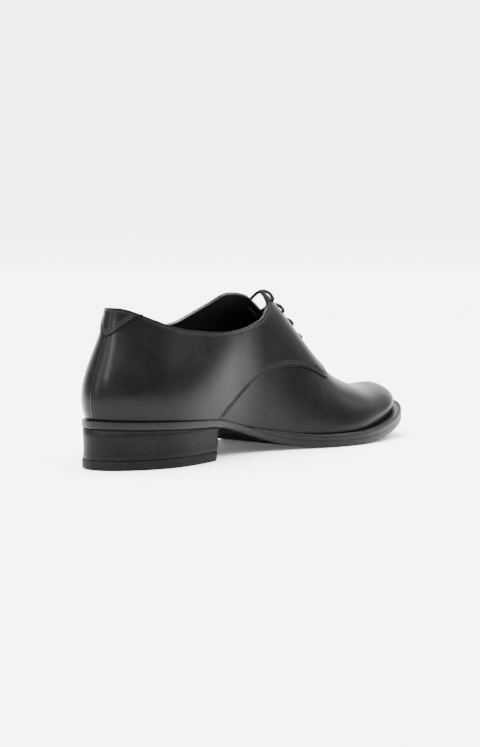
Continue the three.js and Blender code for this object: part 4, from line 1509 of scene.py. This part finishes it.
@dataclass
class Bottom:
    """Outsole, welt, heel and insole."""

    shop: Workshop
    # Outsole, in millimetres: rounding of the lower edge, what the waist adds to it and rounding of
    # the upper edge. Then faces around the edge, and along and across the two flat sides.
    edge_bevel: float = 1.3
    waist_bevel: float = 1.5
    top_bevel: float = 0.6
    edge_faces: int = 300
    face_grid: tuple = (150, 6)
    # Welt: reach inwards and the row of stitches in millimetres, and the station where it starts.
    welt_seat: float = 7.0
    welt_start: float = 0.43
    welt_faces: int = 260
    welt_row: float = 1.75
    welt_pitch: float = 3.0
    welt_stitch: float = 2.2
    welt_thread: float = 0.8
    # Heel, in millimetres.
    lift_thickness: float = 6.0
    heel_inset: float = 0.6
    heel_edge: float = 0.6
    heel_waist: float = 0.35
    seat_depth: float = 6.0
    corner_cut: float = 9.0
    # Insole, in millimetres, and its faces along and across.
    insole_thickness: float = 3.0
    insole_inset: float = 2.3
    insole_cup: float = 0.6
    insole_grid: tuple = (110, 20)

    @property
    def last(self) -> Last:
        """The form."""
        return self.shop.last

    def around(self, u: np.ndarray) -> tuple:
        """Station and side of a place around the whole outline, from the back by the inner side."""
        side = np.where(u <= 0.5, -1, 1)
        station = np.where(u <= 0.5, 2 * u, 2 - 2 * u)
        return np.clip(station, 0, 1), side

    def outsole(self) -> None:
        """Outsole with a rounded, trimmed edge and a thinned waist."""
        last = self.last
        thick = last.sole_thickness

        def waist(station: np.ndarray) -> np.ndarray:
            """How much of the waist's bevel a station has."""
            share = last.share_of(station)
            return ramp(share, 0.30, 0.40) - ramp(share, 0.50, 0.62)

        # Section of the edge from the tread up. Columns: depth inwards as a share of the edge's
        # rounding, and height as a share of the sole's thickness.
        profile = np.array([(0.9, 0.0), (0.45, 0.06), (0.12, 0.16), (0.0, 0.32), (0.02, 0.6),
                            (0.0, 0.86), (0.03, 0.95), (0.2, 1.0)])

        def band(u: np.ndarray, v: np.ndarray) -> np.ndarray:
            """Point of the sole's edge, v from the tread to the top."""
            station, side = self.around(u)
            steps = len(profile) - 1
            i = np.rint(v * steps).astype(int)
            slack = np.minimum(last.columns["sole"](station) * 40, 1)
            under = i < 4
            depth = profile[i, 0]
            lower = self.edge_bevel + self.waist_bevel * waist(station)
            bevel = depth * np.where(under, lower, self.top_bevel)
            rise = np.where(under, profile[i, 1] * (1 + 0.5 * waist(station)), profile[i, 1])
            plan = last.inset(last.sole_point, station, side, bevel * np.maximum(slack, 0.2))
            return np.concatenate([plan, (last.tread_height(plan[:, 0]) + rise * thick)[:, None]], -1)

        def cap(level: int) -> Callable:
            """Face between the two sides of the edge's first or last line."""
            def place(u: np.ndarray, v: np.ndarray) -> np.ndarray:
                """Point of the face, u along it and v from side to side."""
                at = np.full_like(u, float(level))
                inner, outer = band(u / 2, at), band(1 - u / 2, at)
                flat = inner + (outer - inner) * v[:, None]
                flat[:, 2] = last.tread_height(flat[:, 0]) + level * thick
                return flat
            return place

        edge = self.shop.grid(self.edge_faces, len(profile) - 1, band)
        tread = self.shop.grid(*self.face_grid, cap(0))
        # The tread's faces get the second finish, whose darker colour is painted shade under the sole.
        for face in tread.faces:
            face.material_index = 1
        parts = [edge, tread, self.shop.grid(*self.face_grid, cap(1))]
        mesh = self.shop.close(self.shop.join(parts), 0.03)
        self.shop.piece("sole", mesh, EDGE, nodes=("outsole",), lining=SHADED_TREAD)

    def welt(self) -> None:
        """Welt around the forefoot, with a rounded edge and its row of stitches."""
        last = self.last
        first = float(last.station_of(self.welt_start))
        # Section of the welt. Columns: depth inwards from the sole's outline, in millimetres, or
        # None on the inner side, and height as a share of the welt's thickness.
        ring = np.array([(0.12, 0.0), (0.02, 0.08), (0.0, 0.35), (0.0, 0.7), (0.08, 0.9), (0.4, 1.0),
                         (1.4, 0.99), (1.75, 0.93), (2.1, 0.99), (4.0, 1.0), (None, 1.0), (None, 0.0)],
                        dtype=float)
        count = len(ring)

        def place(u: np.ndarray, v: np.ndarray) -> np.ndarray:
            """Point of the welt's skin, u around the toe and v around the section."""
            side = np.where(u <= 0.5, -1, 1)
            station = first + (1 - first) * (1 - np.abs(2 * u - 1))
            i = np.rint(v * count).astype(int) % count
            seat = np.isnan(ring[i, 0])
            outer = last.inset(last.sole_point, station, side, np.where(seat, 0, ring[i, 0]))
            inner = last.inset(last.feather_point, station, side, np.full_like(u, self.welt_seat))
            plan = np.where(seat[:, None], inner, outer)
            low = last.sole_top(plan[:, 0]) + last.gap * 0.15
            high = last.feather_height(plan[:, 0]) - last.gap * 0.6
            return np.concatenate([plan, (low + (high - low) * ring[i, 1])[:, None]], -1)

        mesh = self.shop.close(self.shop.grid(self.welt_faces, count, place))
        skin = BVHTree.FromBMesh(mesh)
        self.shop.piece("welt_strip", mesh, EDGE, nodes=("welt",))
        u = np.linspace(0.035, 0.965, 400)
        side = np.where(u <= 0.5, -1, 1)
        station = first + (1 - first) * (1 - np.abs(2 * u - 1))
        plan = last.inset(last.sole_point, station, side, np.full_like(u, self.welt_row))
        line = np.concatenate([plan, (last.feather_height(plan[:, 0]) + 0.1)[:, None]], -1)
        thread = self.shop.stitches([line], skin, self.welt_pitch, self.welt_stitch,
                                    self.welt_thread, -0.1)
        self.shop.piece("welt_stitches", thread, WELT_THREAD)

    def heel_outline(self, height: float, inset: float, steps: int = 44) -> np.ndarray:
        """Outline of the heel at a height.

        Args:
            height: Height over the floor.
            inset: How far it lies inside the sole's outline.
            steps: Points along each side.

        Returns:
            Plan points, from the outer breast corner around the back.
        """
        last = self.last
        cut = self.corner_cut * (1 - float(ramp(height, 0, 1.5 * self.corner_cut)))
        breast = last.heel_length - inset
        end = float(last.station_of(breast / last.sole_length))
        cut_end = float(last.station_of((breast - cut) / last.sole_length))
        outer = np.linspace(end, 0, steps)
        inner = np.linspace(0, cut_end, steps)[1:]
        points = [last.inset(last.sole_point, outer, np.ones(steps), np.full(steps, inset)),
                  last.inset(last.sole_point, inner, -np.ones(steps - 1), np.full(steps - 1, inset))]
        corner = points[1][-1]
        start = points[0][0]
        tail = np.array([(breast - 0.25 * cut, corner[1] + 0.3 * cut),
                         (breast, corner[1] + 1.2 * cut + self.heel_inset)])
        curve = catmull(np.stack([corner, tail[0], tail[1]]), 6)[1:]
        line = np.linspace(tail[1], start, 8)[1:-1]
        line[:, 0] -= 1.2 * np.sin(np.linspace(0, math.pi, 8))[1:-1]
        return np.concatenate([points[0], points[1], curve, line])

    def block(self, levels: tuple) -> bmesh.types.BMesh:
        """Closed block through outlines at rising heights.

        Args:
            levels: Height, inset and whether the outline follows the sole's underside.

        Returns:
            The mesh.
        """
        last = self.last
        rings = []
        for height, inset, seated in levels:
            plan = self.heel_outline(height, inset)
            z = last.tread_height(np.maximum(plan[:, 0], 0)) - last.gap * 0.5 if seated else height
            rings.append(np.concatenate([plan, np.broadcast_to(z, len(plan))[:, None]], -1))
        rings = np.array(rings)
        around, rows = rings.shape[1], rings.shape[0] - 1

        def place(u: np.ndarray, v: np.ndarray) -> np.ndarray:
            """Point of the block's side."""
            return rings[np.rint(v * rows).astype(int), np.rint(u * around).astype(int) % around]

        return self.shop.close(self.shop.grid(around, rows, place))

    def heel(self) -> None:
        """Stacked heel and its rubber top lift."""
        last, inset = self.last, self.heel_inset
        lift = self.lift_thickness
        top = last.heel_height
        foot = lift + self.heel_edge
        height = top - self.seat_depth - lift
        layers = [(lift + last.gap * 0.5, inset + 0.25, False), (foot, inset, False)]
        for share in (0.2, 0.4, 0.6, 0.8, 1.0):
            waist = self.heel_waist * math.sin(math.pi * share)
            layers.append((foot + height * share, inset + waist, False))
        layers += [(top, inset, True)]
        self.shop.piece("heel_block", self.block(tuple(layers)), HEEL, nodes=("heel_stack",))
        rubber = ((0.0, 0.9, False), (0.25, 0.3, False), (0.7, 0.0, False), (lift - 0.7, 0.0, False),
                  (lift - 0.2, 0.15, False), (lift, 0.5, False))
        self.shop.piece("heel_lift", self.block(rubber), RUBBER, nodes=("top_lift",))

    def insole(self) -> None:
        """Leather sock inside, slightly cupped to the foot."""
        last = self.last

        def place(u: np.ndarray, v: np.ndarray) -> np.ndarray:
            """Point of the sock, u along it and v from side to side."""
            inset = np.full_like(u, self.insole_inset)
            inner = last.inset(last.feather_point, u, -np.ones_like(u), inset)
            outer = last.inset(last.feather_point, u, np.ones_like(u), inset)
            plan = inner + (outer - inner) * v[:, None]
            cup = self.insole_cup * (2 * v - 1) ** 2 * np.sin(math.pi * u)
            z = last.feather_height(plan[:, 0]) + self.insole_thickness + cup - self.insole_cup
            return np.concatenate([plan, z[:, None]], -1)

        mesh = self.shop.grid(*self.insole_grid, place)
        bmesh.ops.remove_doubles(mesh, verts=mesh.verts[:], dist=0.02 * MM)
        self.shop.turn_out(mesh, (0.0, 0.0, 1.0))
        self.shop.piece("sock", mesh, LINING, nodes=("insole",), wall=self.insole_thickness - 0.7)

    def build(self) -> None:
        """Build and dress the bottom."""
        self.outsole()
        self.welt()
        self.heel()
        self.insole()


@dataclass(frozen=True)
class Softbox:
    """A rectangular light that looks at the shoe."""

    name: str
    place: tuple
    target: tuple
    width: float
    height: float
    power: float

    def build(self) -> None:
        """Place the light."""
        data = bpy.data.lights.new(self.name, "AREA")
        data.shape = "RECTANGLE"
        data.size = self.width
        data.size_y = self.height
        data.energy = self.power
        light = bpy.data.objects.new(self.name, data)
        light.location = self.place
        aim = Vector(self.target) - Vector(self.place)
        light.rotation_euler = aim.to_track_quat("-Z", "Y").to_euler()
        bpy.context.scene.collection.objects.link(light)


@dataclass
class Studio:
    """Camera, floor and lights."""

    last: Last
    # Camera: angles in degrees, lengths in millimetres and places in pixels of the photograph.
    azimuth: float = 40.0
    elevation: float = 5.5
    distance: float = 1400.0
    aim: tuple = (150.0, 0.0, 40.0)
    focal_pixels: float = 2025.0
    image_width: float = 480.0
    image_height: float = 747.0
    aim_pixel: tuple = (245.5, 391.0)
    # Floor, in metres: its size, and where its glow starts and ends to rise.
    floor_size: float = 80.0
    glow_reach: tuple = (0.6, 3.5)
    glow: tuple = (0.1, 4.0)
    # Strengths of the room and of the backdrop, and the cosines between which one becomes the other.
    room: float = 0.9
    backdrop: float = 5.0
    backdrop_reach: tuple = (0.55, 0.9)
    softboxes: tuple = (
        Softbox("overhead", (0.1, 0.3, 2.2), (0.1, 0.3, 0.0), 4.0, 4.0, 520.0),
        Softbox("top_strip", (0.3, 0.25, 1.4), (0.1, 0.0, 0.0), 0.5, 0.5, 24.0),
        Softbox("side_box", (1.1, -0.95, 1.1), (0.1, 0.0, 0.05), 1.4, 1.0, 22.0),
        Softbox("tab_box", (-1.3, -0.1, 0.95), (-0.03, 0.0, 0.09), 0.3, 0.5, 16.0),
        Softbox("back_box", (-1.4, 0.6, 0.7), (0.0, 0.0, 0.05), 0.35, 0.9, 12.0),
    )

    def camera(self) -> None:
        """Camera of the photograph."""
        turn, tilt = math.radians(self.azimuth), math.radians(self.elevation)
        look = np.array([math.cos(tilt) * math.cos(turn), math.cos(tilt) * math.sin(turn), -math.sin(tilt)])
        data = bpy.data.cameras.new("photo_camera")
        data.sensor_fit = "HORIZONTAL"
        data.sensor_width = 36.0
        data.lens = self.focal_pixels * data.sensor_width / self.image_width
        data.shift_x = -(self.aim_pixel[0] - self.image_width / 2) / self.image_width
        data.shift_y = (self.aim_pixel[1] - self.image_height / 2) / self.image_width
        data.clip_end = 100.0
        camera = bpy.data.objects.new("photo_camera", data)
        camera.location = self.last.world(np.array(self.aim) - look * self.distance)
        camera.rotation_euler = Vector(look).to_track_quat("-Z", "Y").to_euler()
        bpy.context.scene.collection.objects.link(camera)
        bpy.context.scene.camera = camera

    def floor(self) -> None:
        """Pale floor that the shoe stands on."""
        mesh = bmesh.new()
        bmesh.ops.create_grid(mesh, x_segments=24, y_segments=24, size=self.floor_size / 2)
        data = bpy.data.meshes.new("floor")
        mesh.to_mesh(data)
        mesh.free()
        material = bpy.data.materials.new("pale_floor")
        material.use_nodes = True
        tree = material.node_tree
        shader = tree.nodes["Principled BSDF"]
        where = tree.nodes.new("ShaderNodeTexCoord").outputs["Object"]
        tone = Groups.noise(tree, where, 3.0, 2.0)
        mix = tree.nodes.new("ShaderNodeMix")
        mix.data_type = "RGBA"
        mix.inputs["A"].default_value = (0.90, 0.90, 0.90, 1.0)
        mix.inputs["B"].default_value = (0.92, 0.92, 0.92, 1.0)
        tree.links.new(tone, mix.inputs["Factor"])
        tree.links.new(mix.outputs["Result"], shader.inputs["Base Color"])
        shader.inputs["Roughness"].default_value = 0.9
        shader.inputs["Emission Color"].default_value = (1.0, 1.0, 1.0, 1.0)
        away = tree.nodes.new("ShaderNodeVectorMath")
        away.operation = "LENGTH"
        tree.links.new(where, away.inputs[0])
        glow = Groups.soft_step(tree, away.outputs["Value"], self.glow_reach, self.glow)
        tree.links.new(glow, shader.inputs["Emission Strength"])
        data.materials.append(material)
        floor = bpy.data.objects.new("floor", data)
        bpy.context.scene.collection.objects.link(floor)

    def world(self) -> None:
        """Dim room with a white backdrop behind the shoe."""
        world = bpy.data.worlds.new("studio_room")
        world.use_nodes = True
        tree = world.node_tree
        turn = math.radians(self.azimuth)
        where = tree.nodes.new("ShaderNodeTexCoord").outputs["Generated"]
        facing = tree.nodes.new("ShaderNodeVectorMath")
        facing.operation = "DOT_PRODUCT"
        facing.inputs[1].default_value = (math.cos(turn), math.sin(turn), 0.0)
        tree.links.new(where, facing.inputs[0])
        light = Groups.soft_step(tree, facing.outputs["Value"], self.backdrop_reach,
                                 (self.room, self.backdrop))
        back = tree.nodes["Background"]
        back.inputs["Color"].default_value = (1.0, 1.0, 1.0, 1.0)
        tree.links.new(light, back.inputs["Strength"])
        bpy.context.scene.world = world

    def build(self) -> None:
        """Set the studio up."""
        self.camera()
        self.floor()
        self.world()
        for softbox in self.softboxes:
            softbox.build()


def main() -> None:
    logging.basicConfig(level=logging.INFO, format="%(name)s %(message)s")
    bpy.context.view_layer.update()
    last = Last()
    shop = Workshop(last)
    Studio(last).build()
    Upper(shop).build()
    Bottom(shop).build()
    bpy.context.view_layer.update()


if __name__ == "__main__":
    main()
